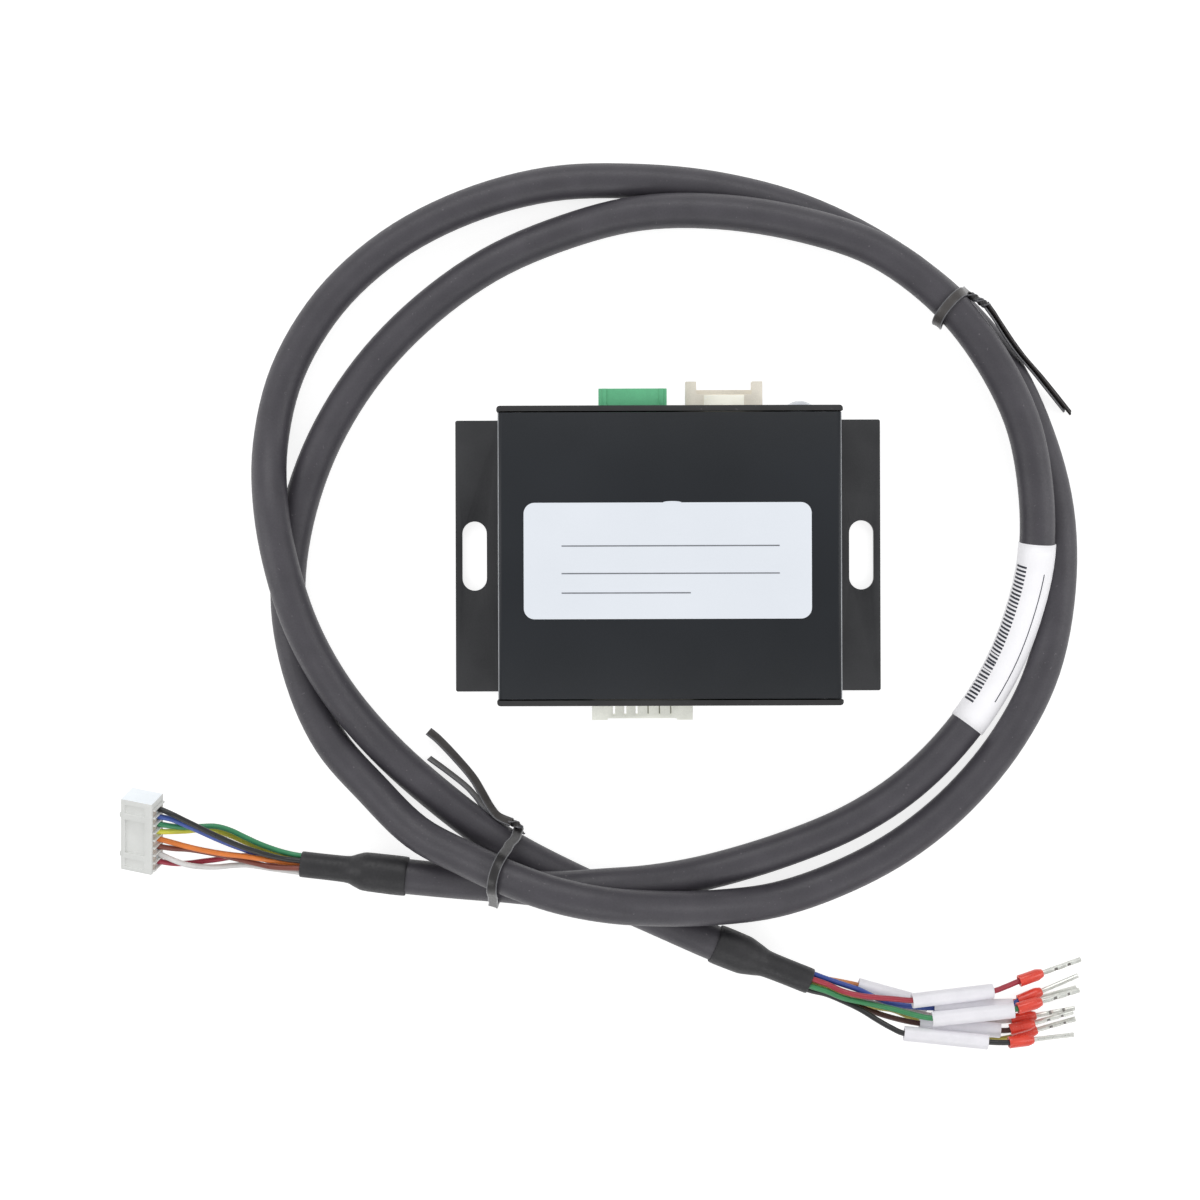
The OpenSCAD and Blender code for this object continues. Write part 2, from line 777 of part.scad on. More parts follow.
module plug_core_yellow() {
    plug_core(3, 7, [0.87, 0.86, 0.48], [
        [-88.5, -48.9, 5.6], [-86, -48.9, 4.3], [-83.5, -48.7, 3.6], [-81, -49, 3.1],
        [-78.5, -49.9, 2.9], [-76, -51, 2.7], [-73.5, -52, 2.5], [-71, -52.9, 2.2],
        [-68.5, -53.6, 1.9]
    ]);
}

module plug_core_orange() {
    plug_core(4, 0, [0.94, 0.68, 0.45], [
        [-88.5, -50.9, 5.7], [-86, -51.6, 5.6], [-83.5, -52.2, 5.5], [-81, -52.7, 5.3],
        [-78.5, -53.1, 5.1], [-76, -53.4, 5], [-73.5, -53.8, 4.8], [-71, -54.3, 3.8],
        [-68.5, -54.8, 3]
    ]);
}

module plug_core_brown() {
    plug_core(5, 3, [0.50, 0.33, 0.30], [
        [-88.5, -52, 4.8], [-86, -52.2, 4.3], [-83.5, -52.6, 4.1], [-81, -53.1, 3.9],
        [-78.5, -53.7, 3.8], [-76, -54.3, 3.8], [-73.5, -54.9, 3.9], [-71, -55.4, 4.2],
        [-68.5, -55.6, 4.1]
    ]);
}

module plug_core_white() {
    plug_core(6, 4, [0.90, 0.89, 0.88], [
        [-88.5, -54.1, 4.7], [-86, -55, 4.3], [-83.5, -55.4, 3.6], [-81, -55.5, 3],
        [-78.5, -55.3, 2.6], [-76, -55.2, 2.4], [-73.5, -55.5, 2.3], [-71, -55.9, 2.5],
        [-68.5, -56.2, 2.8]
    ]);
}

module plug_core_red() {
    plug_core(7, 5, [0.72, 0.33, 0.38], [
        [-88.5, -54.8, 3.4], [-86, -54.8, 2.9], [-83.5, -54.5, 2.6], [-81, -54.2, 2.4],
        [-78.5, -53.8, 2.2], [-76, -53.6, 1.9], [-73.5, -54, 1.4], [-71, -54.9, 1.2],
        [-68.5, -56, 1.4]
    ]);
}

// ----------------------------------------------------- leads and ferrules

collar_d = 2.15;
collar_l = 4.6;
collar_hold = 2.5;
pin_d = 0.9;

// Each lead: where its ferrule starts at the core and where its pin ends
ferrule_red = [[62.5, -76.3, 3.6], [73.8, -72.7, 1.4]];
ferrule_blue = [[62.4, -79.9, 3.2], [73.2, -75.5, 2.3]];
ferrule_green = [[61.9, -80.9, 6.2], [73.1, -77.8, 4.6]];
ferrule_orange = [[61.9, -80.9, 1.12], [73.1, -77.8, 1.05]];
ferrule_white = [[61.3, -83.6, 1.12], [72.8, -81.5, 1.05]];
ferrule_brown = [[60.9, -85.1, 3.2], [72.2, -81.9, 3]];
ferrule_yellow = [[61.6, -86.6, 1.12], [72.9, -83.4, 1.05]];
ferrule_black = [[60.4, -87, 5.6], [72.2, -85.9, 3.6]];
ferrules = [
    ferrule_red, ferrule_blue, ferrule_green, ferrule_orange,
    ferrule_white, ferrule_brown, ferrule_yellow, ferrule_black
];

// Each marker sleeve: the ends of its axis
sleeve_axis_red = [[43.1, -79.4, 6.6], [57.7, -77.9, 5.1]];
sleeve_axis_blue = [[47.2, -81, 3.8], [61.4, -80.8, 3.3]];
sleeve_axis_green = [[46.7, -82.7, 6.5], [61.3, -81.2, 6.5]];
sleeve_axis_brown = [[44.7, -83.9, 3], [59.2, -85.2, 3]];
sleeve_axis_orange = [[33.8, -77.2, 1.5], [46.4, -80.75, 1.5]];
sleeve_axis_black = [[41.7, -85.3, 5.8], [56.7, -86.9, 5.8]];

module ferrule_collars() {
    tip_r = 0.65;
    color([0.90, 0.35, 0.28])
        for (f = ferrules)
            aim(f[0], f[1])
                rotate_extrude()
                    polygon([
                        [core_d / 2 + 0.25, 0], [collar_d / 2, 0],
                        [collar_d / 2, collar_l - 1.1], [tip_r + 0.15, collar_l - 0.3],
                        [tip_r, collar_l], [pin_d / 2, collar_l], [pin_d / 2, collar_hold],
                        [core_d / 2, collar_hold], [core_d / 2, 1.2]
                    ]);
}

module ferrule_pins() {
    color(tin)
        for (f = ferrules)
            aim(along(f, collar_hold), f[1])
                cylinder(d = pin_d, h = norm(f[1] - f[0]) - collar_hold);
}

// A core from the lead boot along its hand-laid points and into its ferrule
module lead_core(place, tint, points, ferrule) {
    color(tint)
        cord(concat(bundle_run(lead_boot_axis, place, lead_grip), points,
            [along(ferrule, 0), along(ferrule, collar_hold)]), core_d, 8);
}

module lead_core_blue() {
    lead_core(1, [0.33, 0.42, 0.66], [
        [28, -75.8, 3.2], [31, -76.8, 3.5], [34, -77.8, 3.9], [36.7, -79.1, 3.9],
        [39.4, -80.1, 3.9], [42, -80.6, 3.9], [47.2, -81, 3.8], [54, -80.9, 3.55],
        [60.8, -80.75, 3.3]
    ], ferrule_blue);
}

module lead_core_red() {
    lead_core(2, [0.70, 0.27, 0.35], [
        [28, -76.6, 4.4], [31, -77.9, 4.9], [34, -78.6, 5.3], [37, -78.9, 5.7],
        [40, -79.1, 6.2], [43.1, -79.3, 6.6], [50.4, -78.65, 5.85], [57.7, -77.9, 5.1],
        [60, -77.2, 4.4]
    ], ferrule_red);
}

module lead_core_green() {
    lead_core(3, [0.30, 0.60, 0.42], [
        [28, -77.9, 4.2], [31, -79.1, 4.5], [34, -79.8, 4.6], [37, -80.4, 5],
        [40, -81, 5.5], [43, -81.8, 6.1], [46.7, -82.5, 6.5], [54, -81.95, 6.5],
        [60.6, -81.2, 6.4]
    ], ferrule_green);
}

module lead_core_black() {
    lead_core(4, [0.27, 0.27, 0.28], [
        [28, -78.6, 2.9], [31, -79.8, 3.3], [34, -81.2, 3.8], [37, -83, 4.6],
        [39.4, -84.3, 5.4], [41.7, -85.3, 5.8], [49.2, -86.1, 5.8], [56.7, -86.9, 5.7]
    ], ferrule_black);
}

module lead_core_brown() {
    lead_core(5, [0.36, 0.20, 0.18], [
        [28, -78.7, 1.6], [31, -79.8, 1.9], [34, -80.8, 2.3], [37, -82, 2.6],
        [40, -82.9, 2.9], [44.7, -83.9, 3], [52, -84.55, 3], [59.2, -85.2, 3]
    ], ferrule_brown);
}

module lead_core_white() {
    lead_core(6, [0.90, 0.87, 0.87], [
        [28, -77.5, 0.9], [31, -78.7, 0.7], [34, -79.8, 0.7], [37, -80.6, 0.7],
        [40, -81.2, 0.7], [43, -81.8, 0.7], [46.4, -82.7, 0.7], [50, -83, 0.7],
        [54, -83.4, 0.7], [58, -83.8, 0.8]
    ], ferrule_white);
}

module lead_core_orange() {
    lead_core(7, [0.88, 0.60, 0.42], [
        [28, -76, 1.6], [31, -76.6, 1.5], [33.8, -77.2, 1.5], [40.1, -78.97, 1.5],
        [46.4, -80.75, 1.5], [49, -81.1, 0.9], [53, -81.1, 0.7], [57.5, -81.2, 0.8]
    ], ferrule_orange);
}

module lead_core_yellow() {
    lead_core(0, [0.80, 0.78, 0.46], [
        [28, -77.3, 2.7], [31, -78.6, 2.7], [34, -79.8, 3.1], [37, -80.9, 3.2],
        [40, -81.5, 2.6], [43, -82.9, 1.3], [46.4, -84.3, 0.7], [50, -85.2, 0.7],
        [54, -86.4, 0.7], [57.5, -87.2, 0.8]
    ], ferrule_yellow);
}

module marker_sleeve(axis) {
    color([0.92, 0.92, 0.94])
        aim(axis[0], axis[1])
            difference() {
                cylinder(d = sleeve_d, h = norm(axis[1] - axis[0]));
                translate([0, 0, -1]) cylinder(d = sleeve_bore, h = 20);
            }
}

module sleeve_black() {
    marker_sleeve(sleeve_axis_black);
}

module sleeve_blue() {
    marker_sleeve(sleeve_axis_blue);
}

module sleeve_green() {
    marker_sleeve(sleeve_axis_green);
}

module sleeve_orange() {
    marker_sleeve(sleeve_axis_orange);
}

module sleeve_brown() {
    marker_sleeve(sleeve_axis_brown);
}

module sleeve_red() {
    marker_sleeve(sleeve_axis_red);
}

// ------------------------------------------------------------------- ties

tie_w = 1.5;
tie_t = 0.5;
tie_gap = 0.55;

// A band hugging a stack of cable circles, given in its own upright plane
module tie_band(centre, heading, circles) {
    r = cable_d / 2 + tie_gap;
    translate(centre)
        rotate([90, 0, heading])
            linear_extrude(tie_w, center = true)
                difference() {
                    hull() for (c = circles) translate(c) circle(r + tie_t);
                    hull() for (c = circles) translate(c) circle(r);
                }
}

module upper_tie() {
    color(boot_black) {
        tie_band([50.4, 43.7, 0], 49, [[0.94, 4.1], [-0.36, 10.42]]);
        cord([[52.9, 46.55, 10.4], [54.8, 45.5, 10.5], [56.7, 44.3, 10.2]], 1.6, 8);
        strip([[56.5, 44.4, 10.2], [59, 42.2, 8.6], [61.1, 38.7, 7], [63.1, 35.3, 5.9],
            [66.5, 31.5, 3.2], [72.2, 25.5, 0.9]], 1, 1);
    }
}

module lower_tie() {
    color(boot_black) {
        tie_band([-29.3, -54.5, 0], atan2(-13.9, -4.6), [[-2.6, 4.25], [4.2, 6.9], [1.6, 14.4]]);
        cord([[-27.3, -48.5, 5], [-27.5, -47.3, 5.4], [-28.9, -46.4, 5.2]], 1.6, 8);
        strip([[-28.7, -46.4, 5.2], [-31.4, -44.8, 4.6], [-33.1, -42.5, 3.6], [-36.8, -36.9, 2],
            [-39.7, -34.1, 1.3], [-42.8, -31.8, 0.9]], 1.1, 0.9);
        strip([[-28.7, -46.6, 4.7], [-33, -43.5, 3.4], [-35.9, -41.5, 2.4], [-39.1, -39.1, 1.5],
            [-42.9, -36.3, 0.9]], 0.9, 0.9);
    }
}

// ------------------------------------------------------------------ nodes

lower_shell();
upper_shell();
power_end_panel();
gripper_end_panel();
panel_screws();
circuit_board();
power_header();
power_pins();
io_header();
io_pins();
gripper_header();
gripper_pins();
status_lens();
status_led();
microcontroller();
motor_drivers();
transceiver();
inductor();
capacitors();
top_label();
cable_jacket();
cable_label();
plug_boot();
lead_boot();
plug_housing();
plug_contacts();
upper_tie();
lower_tie();
ferrule_collars();
ferrule_pins();
plug_core_black();
plug_core_blue();
plug_core_green();
plug_core_yellow();
plug_core_orange();
plug_core_brown();
plug_core_white();
plug_core_red();
lead_core_black();
lead_core_blue();
lead_core_green();
lead_core_yellow();
lead_core_orange();
lead_core_brown();
lead_core_white();
lead_core_red();
sleeve_black();
sleeve_blue();
sleeve_green();
sleeve_orange();
sleeve_brown();
sleeve_red();
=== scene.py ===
"""Dresses a gripper controller and the signal cable that lies round it.

Every length below is in millimetres until the moment it becomes a mesh; the
scene itself is in metres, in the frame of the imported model.
"""

from __future__ import annotations

import json
import logging
import math
from dataclasses import dataclass, field
from enum import Enum
from typing import Callable, Sequence

import bmesh
import bpy
from mathutils import Matrix, Vector, noise

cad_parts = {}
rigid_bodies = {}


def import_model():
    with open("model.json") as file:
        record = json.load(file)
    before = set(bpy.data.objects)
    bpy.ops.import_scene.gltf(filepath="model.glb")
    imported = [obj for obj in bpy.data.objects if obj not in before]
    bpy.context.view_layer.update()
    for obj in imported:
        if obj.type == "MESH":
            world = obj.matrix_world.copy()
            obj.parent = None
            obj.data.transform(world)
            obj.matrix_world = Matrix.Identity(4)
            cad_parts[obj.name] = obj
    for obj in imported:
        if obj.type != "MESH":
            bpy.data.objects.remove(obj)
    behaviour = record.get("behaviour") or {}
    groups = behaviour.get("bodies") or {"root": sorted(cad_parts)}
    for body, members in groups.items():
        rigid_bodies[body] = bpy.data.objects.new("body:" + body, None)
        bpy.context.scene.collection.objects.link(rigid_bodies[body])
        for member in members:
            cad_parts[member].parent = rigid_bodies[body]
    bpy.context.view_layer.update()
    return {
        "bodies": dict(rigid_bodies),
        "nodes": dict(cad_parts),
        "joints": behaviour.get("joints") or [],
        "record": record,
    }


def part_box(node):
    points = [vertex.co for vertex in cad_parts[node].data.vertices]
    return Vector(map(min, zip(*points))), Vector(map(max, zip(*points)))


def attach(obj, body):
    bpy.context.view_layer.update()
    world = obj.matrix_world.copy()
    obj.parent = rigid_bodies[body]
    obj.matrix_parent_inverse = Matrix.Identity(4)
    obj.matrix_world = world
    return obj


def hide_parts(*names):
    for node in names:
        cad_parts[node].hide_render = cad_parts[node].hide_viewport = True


log = logging.getLogger("controller")
MM = 0.001
UP = Vector((0, 0, 1))
MADE: dict[str, bpy.types.Material] = {}
Point = tuple[float, float, float]
Pair = tuple[float, float]


class Body(Enum):
    """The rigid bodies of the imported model."""

    CONTROLLER = "controller"
    CABLE = "cable"
    RED_SLEEVE = "red_sleeve"
    BROWN_SLEEVE = "brown_sleeve"
    BLACK_SLEEVE = "black_sleeve"


# ---------------------------------------------------------------- finishes

COAT_ROUGHNESS = 0.12
PATCH_SHARE = 0.7
PATCH_SPAN = (0.35, 0.65)
GRAIN_SPAN = (0.3, 0.7)
SPECK_SIZE = 0.6
SPECK_SPAN = (0.73, 0.80)
SPECK_COLOUR = (0.32, 0.30, 0.32, 1)


class Tone(Enum):
    """The looks of a tie's face, by the place of their finish on the tie: the plain coat, a painted
    highlight on the rims, painted light and painted shade.
    """

    PLAIN = 0
    RIM_HIGHLIGHT = 1
    PAINTED_LIGHT = 2
    PAINTED_SHADE = 3


@dataclass(frozen=True)
class Finish:
    """A surface finish that is built as a node material.

    Attributes:
        name: name of the material.
        colour: base colour, linear red, green and blue.
        shade: second colour that the first one drifts towards.
        drift: size of the drifting patches, in millimetres.
        rough: lowest and highest roughness.
        grain: size of the bump grain, in millimetres, or 0 for none.
        depth: height of the grain, in millimetres.
        stretch: how the grain and patches are drawn out along X, Y and Z.
        metallic: 1 for bare metal.
        coat: weight of a clear coat.
        see_through: transmission weight.
        specular: specular level.
        speckle: strength of fine pale specks.
        glow: strength of a faint light of its own, painted light that brightens a part though it is
            no lamp.
    """

    name: str
    colour: Point
    shade: Point
    drift: float = 8.0
    rough: Pair = (0.4, 0.55)
    grain: float = 0.4
    depth: float = 0.02
    stretch: Point = (1.0, 1.0, 1.0)
    metallic: float = 0.0
    coat: float = 0.0
    see_through: float = 0.0
    specular: float = 0.5
    speckle: float = 0.0
    glow: float = 0.0

    def material(self) -> bpy.types.Material:
        """Returns the finish's material, made on first use."""
        if self.name not in MADE:
            MADE[self.name] = self._build()
        return MADE[self.name]

    def _build(self) -> bpy.types.Material:
        """Builds the node tree.

        Returns:
            The new material.
        """
        made = bpy.data.materials.new(self.name)
        made.use_nodes = True
        tree = made.node_tree
        shader = tree.nodes["Principled BSDF"]
        for socket, value in (("Metallic", self.metallic), ("Coat Weight", self.coat),
                              ("Coat Roughness", COAT_ROUGHNESS),
                              ("Transmission Weight", self.see_through),
                              ("Specular IOR Level", self.specular)):
            shader.inputs[socket].default_value = value
        place = tree.nodes.new("ShaderNodeTexCoord")
        drawn = tree.nodes.new("ShaderNodeMapping")
        drawn.inputs["Scale"].default_value = [1 / s for s in self.stretch]
        tree.links.new(place.outputs["Object"], drawn.inputs["Vector"])
        patches = self._noise(tree, drawn, self.drift, 3.0)
        fine = self._noise(tree, drawn, max(self.grain, 0.1), 4.0)
        blend = tree.nodes.new("ShaderNodeMix")
        blend.data_type = "RGBA"
        blend.inputs["A"].default_value = (*self.colour, 1)
        blend.inputs["B"].default_value = (*self.shade, 1)
        both = self._math(tree, "MULTIPLY_ADD", patches, PATCH_SHARE)
        rest = self._math(tree, "MULTIPLY", fine, 1 - PATCH_SHARE)
        tree.links.new(rest.outputs[0], both.inputs[2])
        tree.links.new(self._span(tree, both, *PATCH_SPAN, 0, 1).outputs[0],
                       blend.inputs["Factor"])
        colour = blend.outputs["Result"]
        if self.speckle:
            colour = self._specks(tree, drawn, colour)
        tree.links.new(colour, shader.inputs["Base Color"])
        # painted light: the emission brightens the part though it is no lamp
        if self.glow:
            tree.links.new(colour, shader.inputs["Emission Color"])
            shader.inputs["Emission Strength"].default_value = self.glow
        tree.links.new(self._span(tree, fine, *GRAIN_SPAN, *self.rough).outputs[0],
                       shader.inputs["Roughness"])
        if self.grain:
            bump = tree.nodes.new("ShaderNodeBump")
            bump.inputs["Strength"].default_value = 1
            bump.inputs["Distance"].default_value = self.depth * MM
            tree.links.new(fine.outputs["Fac"], bump.inputs["Height"])
            tree.links.new(bump.outputs["Normal"], shader.inputs["Normal"])
        return made

    def _specks(self, tree: bpy.types.NodeTree, drawn: bpy.types.Node,
                colour: bpy.types.NodeSocket) -> bpy.types.NodeSocket:
        """Lays fine pale specks over a colour.

        Args:
            tree: the material's node tree.
            drawn: the mapping that the specks follow.
            colour: the colour under the specks.

        Returns:
            The socket of the speckled colour.
        """
        dust = self._noise(tree, drawn, SPECK_SIZE, 1.0)
        mask = self._span(tree, dust, *SPECK_SPAN, 0, self.speckle)
        mix = tree.nodes.new("ShaderNodeMix")
        mix.data_type = "RGBA"
        mix.inputs["B"].default_value = SPECK_COLOUR
        tree.links.new(mask.outputs[0], mix.inputs["Factor"])
        tree.links.new(colour, mix.inputs["A"])
        return mix.outputs["Result"]

    @staticmethod
    def _noise(tree: bpy.types.NodeTree, drawn: bpy.types.Node, size: float,
               detail: float) -> bpy.types.Node:
        """Adds a noise texture.

        Args:
            tree: the material's node tree.
            drawn: the mapping that feeds it.
            size: size of a patch, in millimetres.
            detail: octaves of the noise.

        Returns:
            The noise node.
        """
        made = tree.nodes.new("ShaderNodeTexNoise")
        made.inputs["Scale"].default_value = 1 / (size * MM)
        made.inputs["Detail"].default_value = detail
        tree.links.new(drawn.outputs["Vector"], made.inputs["Vector"])
        return made

    @staticmethod
    def _math(tree: bpy.types.NodeTree, kind: str, source: bpy.types.Node,
              by: float) -> bpy.types.Node:
        """Adds a math node fed by a node's first output and a number."""
        made = tree.nodes.new("ShaderNodeMath")
        made.operation = kind
        tree.links.new(source.outputs[0], made.inputs[0])
        made.inputs[1].default_value = by
        return made

    @staticmethod
    def _span(tree: bpy.types.NodeTree, source: bpy.types.Node, low: float, high: float,
              out_low: float, out_high: float) -> bpy.types.Node:
        """Adds a clamped map range from a node's first output."""
        made = tree.nodes.new("ShaderNodeMapRange")
        tree.links.new(source.outputs[0], made.inputs["Value"])
        for socket, value in (("From Min", low), ("From Max", high), ("To Min", out_low),
                              ("To Max", out_high)):
            made.inputs[socket].default_value = value
        return made


def plastic(name: str, colour: Point, **facts: float) -> Finish:
    """Returns a moulded plastic finish whose shade is a little darker than its colour."""
    darker = tuple(0.82 * c for c in colour)
    return Finish(name, colour, darker, **facts)


# the lid's large drifting patches are partly uneven anodising and partly a painted reflection of
# the soft boxes
ANODISED = Finish("anodised_shell", (0.015, 0.018, 0.023), (0.005, 0.007, 0.010), drift=45,
                  rough=(0.34, 0.46), grain=0.12, depth=0.006, specular=0.36)
PANEL = Finish("painted_panel", (0.030, 0.030, 0.031), (0.018, 0.018, 0.019), drift=10,
               rough=(0.42, 0.54), grain=0.14, depth=0.012, specular=0.45, speckle=0.12)
# painted highlight: a bright metal finish laid on the lid's rounded long edges so that they shine
EDGE_HIGHLIGHT = Finish("painted_edge_highlight", (0.42, 0.44, 0.46), (0.30, 0.31, 0.33), drift=2,
              rough=(0.30, 0.42), grain=0.2, depth=0.006, stretch=(1.0, 20.0, 1.0),
              metallic=1.0)
FLANGE = Finish("anodised_flange", (0.053, 0.054, 0.058), (0.028, 0.029, 0.032), drift=16,
                rough=(0.34, 0.46), grain=0.12, depth=0.006, specular=0.40)
JACKET = Finish("jacket_pvc", (0.066, 0.062, 0.073), (0.050, 0.047, 0.056), drift=6,
                rough=(0.40, 0.54), grain=0.35, depth=0.015, speckle=0.22)
SHRINK = Finish("shrunk_boot", (0.026, 0.025, 0.028), (0.016, 0.016, 0.018), drift=3,
                rough=(0.42, 0.58), grain=0.5, depth=0.03)
TIE = Finish("coated_tie", (0.030, 0.028, 0.029), (0.018, 0.017, 0.018), drift=2,
             rough=(0.28, 0.42), grain=0.3, depth=0.010)
# painted highlight: a paler, glossier copy of the tie's coat for its round rims
TIE_RIM_HIGHLIGHT = Finish("coated_tie_rim_highlight", (0.15, 0.15, 0.16), (0.10, 0.10, 0.11), drift=3,
                 rough=(0.20, 0.32), grain=0.3, depth=0.004)
# painted light: a paler copy of the tie's coat for faces that are lit
TIE_PAINTED_LIGHT = Finish("coated_tie_painted_light", (0.080, 0.075, 0.073), (0.055, 0.050, 0.048), drift=3,
                  rough=(0.28, 0.40), grain=0.3, depth=0.008)
# painted shade: a darker, duller copy of the tie's coat for faces that are in shade
TIE_PAINTED_SHADE = Finish("coated_tie_painted_shade", (0.016, 0.013, 0.013), (0.010, 0.008, 0.008), drift=3,
                  rough=(0.55, 0.65), grain=0.3, depth=0.008, specular=0.2)
LABEL = Finish("polyester_film", (0.80, 0.84, 0.90), (0.77, 0.81, 0.87), drift=20,
               rough=(0.34, 0.44), grain=0.25, depth=0.004)
# the tag's glow is painted light that brightens it
TAG = Finish("tag_film", (0.88, 0.875, 0.90), (0.83, 0.825, 0.85), drift=8,
             rough=(0.38, 0.50), grain=0.25, depth=0.004, glow=0.19)
RULE = Finish("printed_rule", (0.20, 0.21, 0.24), (0.15, 0.16, 0.18), drift=3,
              rough=(0.5, 0.6), grain=0.2, depth=0.003)
TICK = Finish("printed_tick", (0.035, 0.040, 0.060), (0.025, 0.028, 0.040), drift=3,
              rough=(0.5, 0.6), grain=0.2, depth=0.003)
# the sleeves' faint glow is painted light
SLEEVE = Finish("marker_tube", (0.83, 0.82, 0.86), (0.77, 0.76, 0.80), drift=4,
                rough=(0.30, 0.42), grain=0.6, depth=0.006, glow=0.07)
# the collars' faint glow is painted light
COLLAR = Finish("collar_nylon", (0.80, 0.075, 0.045), (0.68, 0.05, 0.03), drift=2,
                rough=(0.20, 0.30), grain=0.5, depth=0.002, coat=0.3, glow=0.03)
# the plug's faint glow is painted light
PLUG = Finish("plug_moulding", (0.73, 0.74, 0.72), (0.67, 0.68, 0.66), drift=4,
              rough=(0.30, 0.42), grain=0.3, depth=0.004, glow=0.05)
# painted light: a paler, bluish copy of the plug moulding with a stronger glow, for the lit upper
# end face
PLUG_END_LIT = Finish("plug_end_painted_light", (0.86, 0.91, 0.95), (0.82, 0.87, 0.91), drift=4,
                  rough=(0.26, 0.36), grain=0.3, depth=0.004, glow=0.20)
# painted shade: a darker beige for the sheets in the shaded hollows between the plug's ribs
HOLLOW_SHADE = Finish("plug_hollow_painted_shade", (0.66, 0.60, 0.53), (0.46, 0.41, 0.36), drift=1.2,
                rough=(0.36, 0.48), grain=0.3, depth=0.006)
TIN = Finish("tinned_metal", (0.62, 0.61, 0.58), (0.45, 0.44, 0.42), drift=1.2,
             rough=(0.24, 0.42), grain=0.25, depth=0.02, metallic=1.0)
PIN = Finish("plated_pin", (0.80, 0.81, 0.77), (0.62, 0.63, 0.59), drift=1.0,
             rough=(0.26, 0.38), grain=0.3, depth=0.006, metallic=0.75)
CREASE = Finish("crimp_shadow", (0.26, 0.25, 0.24), (0.14, 0.13, 0.12), drift=0.8,
                rough=(0.32, 0.44), grain=0.2, depth=0.004, metallic=0.6)
# painted shade: a dark finish for the bars seen through the header's narrow windows
WINDOW_SHADE = Finish("window_shadow", (0.38, 0.37, 0.33), (0.28, 0.27, 0.24), drift=2,
                rough=(0.4, 0.5), grain=0.2, depth=0.004)
STEEL = Finish("plated_steel", (0.42, 0.42, 0.43), (0.30, 0.30, 0.31), drift=1,
               rough=(0.28, 0.42), grain=0.2, depth=0.01, metallic=1.0)
GREEN_BODY = plastic("green_moulding", (0.155, 0.60, 0.31), rough=(0.28, 0.40), grain=0.25,
                     depth=0.008, drift=4)
# the header's glow is painted light that lifts it out of the shade where it sits low in the box
CREAM_BODY = plastic("cream_moulding", (0.90, 0.85, 0.74), rough=(0.36, 0.48), grain=0.25,
                     depth=0.008, drift=4, glow=0.13)
# painted light: a paler copy of the cream moulding with a stronger glow, for the raised pad
CREAM_PAD_BRIGHT = plastic("cream_pad_painted_light", (0.95, 0.94, 0.83), rough=(0.36, 0.48), grain=0.25,
                    depth=0.008, drift=4, glow=0.30)
# the gripper header's glow is painted light
PALE_BODY = plastic("pale_moulding", (0.88, 0.89, 0.81), rough=(0.30, 0.42), grain=0.25,
                    depth=0.004, drift=6, glow=0.21)
# the dome's glow is painted light
LENS = plastic("clear_dome", (0.86, 0.89, 0.95), rough=(0.03, 0.06), grain=0.5, depth=0.001,
               see_through=0.45, coat=0.5, glow=0.12)
LAMP = plastic("cast_resin", (0.80, 0.80, 0.74), rough=(0.25, 0.35), grain=0.4, depth=0.004)
BOARD = plastic("solder_mask", (0.02, 0.12, 0.05), rough=(0.30, 0.42), grain=0.3, depth=0.012,
                drift=6)
CHIP = plastic("moulded_package", (0.015, 0.015, 0.016), rough=(0.50, 0.62), grain=0.15,
               depth=0.01)
FERRITE = plastic("pressed_ferrite", (0.05, 0.05, 0.055), rough=(0.6, 0.75), grain=0.2,
                  depth=0.02)
CAN = Finish("drawn_can", (0.70, 0.71, 0.72), (0.58, 0.59, 0.60), drift=2,
             rough=(0.22, 0.34), grain=0.15, depth=0.008, metallic=1.0)


# ------------------------------------------------------------- mesh helpers

WELD = 1e-7
CAD_WELD = 2e-6
CAD_FLAT = math.radians(0.5)


def metres(point: Sequence[float]) -> Vector:
    """Returns a point given in millimetres as a vector in metres."""
    return Vector(point) * MM


def dress(piece: bpy.types.Object, body: Body, finish: Finish, *replaced: str) -> bpy.types.Object:
    """Gives a piece its finish and its body.

    Args:
        piece: the new object.
        body: the body that it rides on.
        finish: its finish.
        replaced: the CAD nodes that it stands for.

    Returns:
        The piece.
    """
    if not piece.data.materials:
        piece.data.materials.append(finish.material())
    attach(piece, body.value)
    if replaced:
        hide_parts(*replaced)
    log.info("piece %s on %s", piece.name, body.value)
    return piece


def linked(name: str, data: bpy.types.ID) -> bpy.types.Object:
    """Adds an object with this data to the scene."""
    piece = bpy.data.objects.new(name, data)
    bpy.context.scene.collection.objects.link(piece)
    return piece


def mesh_piece(name: str, bm: bmesh.types.BMesh, smooth: bool = True) -> bpy.types.Object:
    """Turns a bmesh into an object of the scene.

    Args:
        name: name of the object.
        bm: the mesh, in metres and in its final place. It is freed.
        smooth: whether its faces are shaded smooth.

    Returns:
        The object.
    """
    mesh = bpy.data.meshes.new(name)
    bm.to_mesh(mesh)
    bm.free()
    for face in mesh.polygons:
        face.use_smooth = smooth
    return linked(name, mesh)


def place_mesh(name: str, bm: bmesh.types.BMesh, smooth: bool = True) -> bpy.types.Object:
    """Welds a new mesh, turns its faces outward and makes it an object, as mesh_piece does."""
    bmesh.ops.remove_doubles(bm, verts=bm.verts, dist=WELD)
    bmesh.ops.recalc_face_normals(bm, faces=bm.faces)
    return mesh_piece(name, bm, smooth)


def bar(bm: bmesh.types.BMesh, size: Sequence[float], at: Sequence[float]) -> None:
    """Adds a box of this size round a point."""
    box = bmesh.ops.create_cube(bm, size=1)["verts"]
    bmesh.ops.scale(bm, verts=box, vec=size)
    bmesh.ops.translate(bm, verts=box, vec=at)


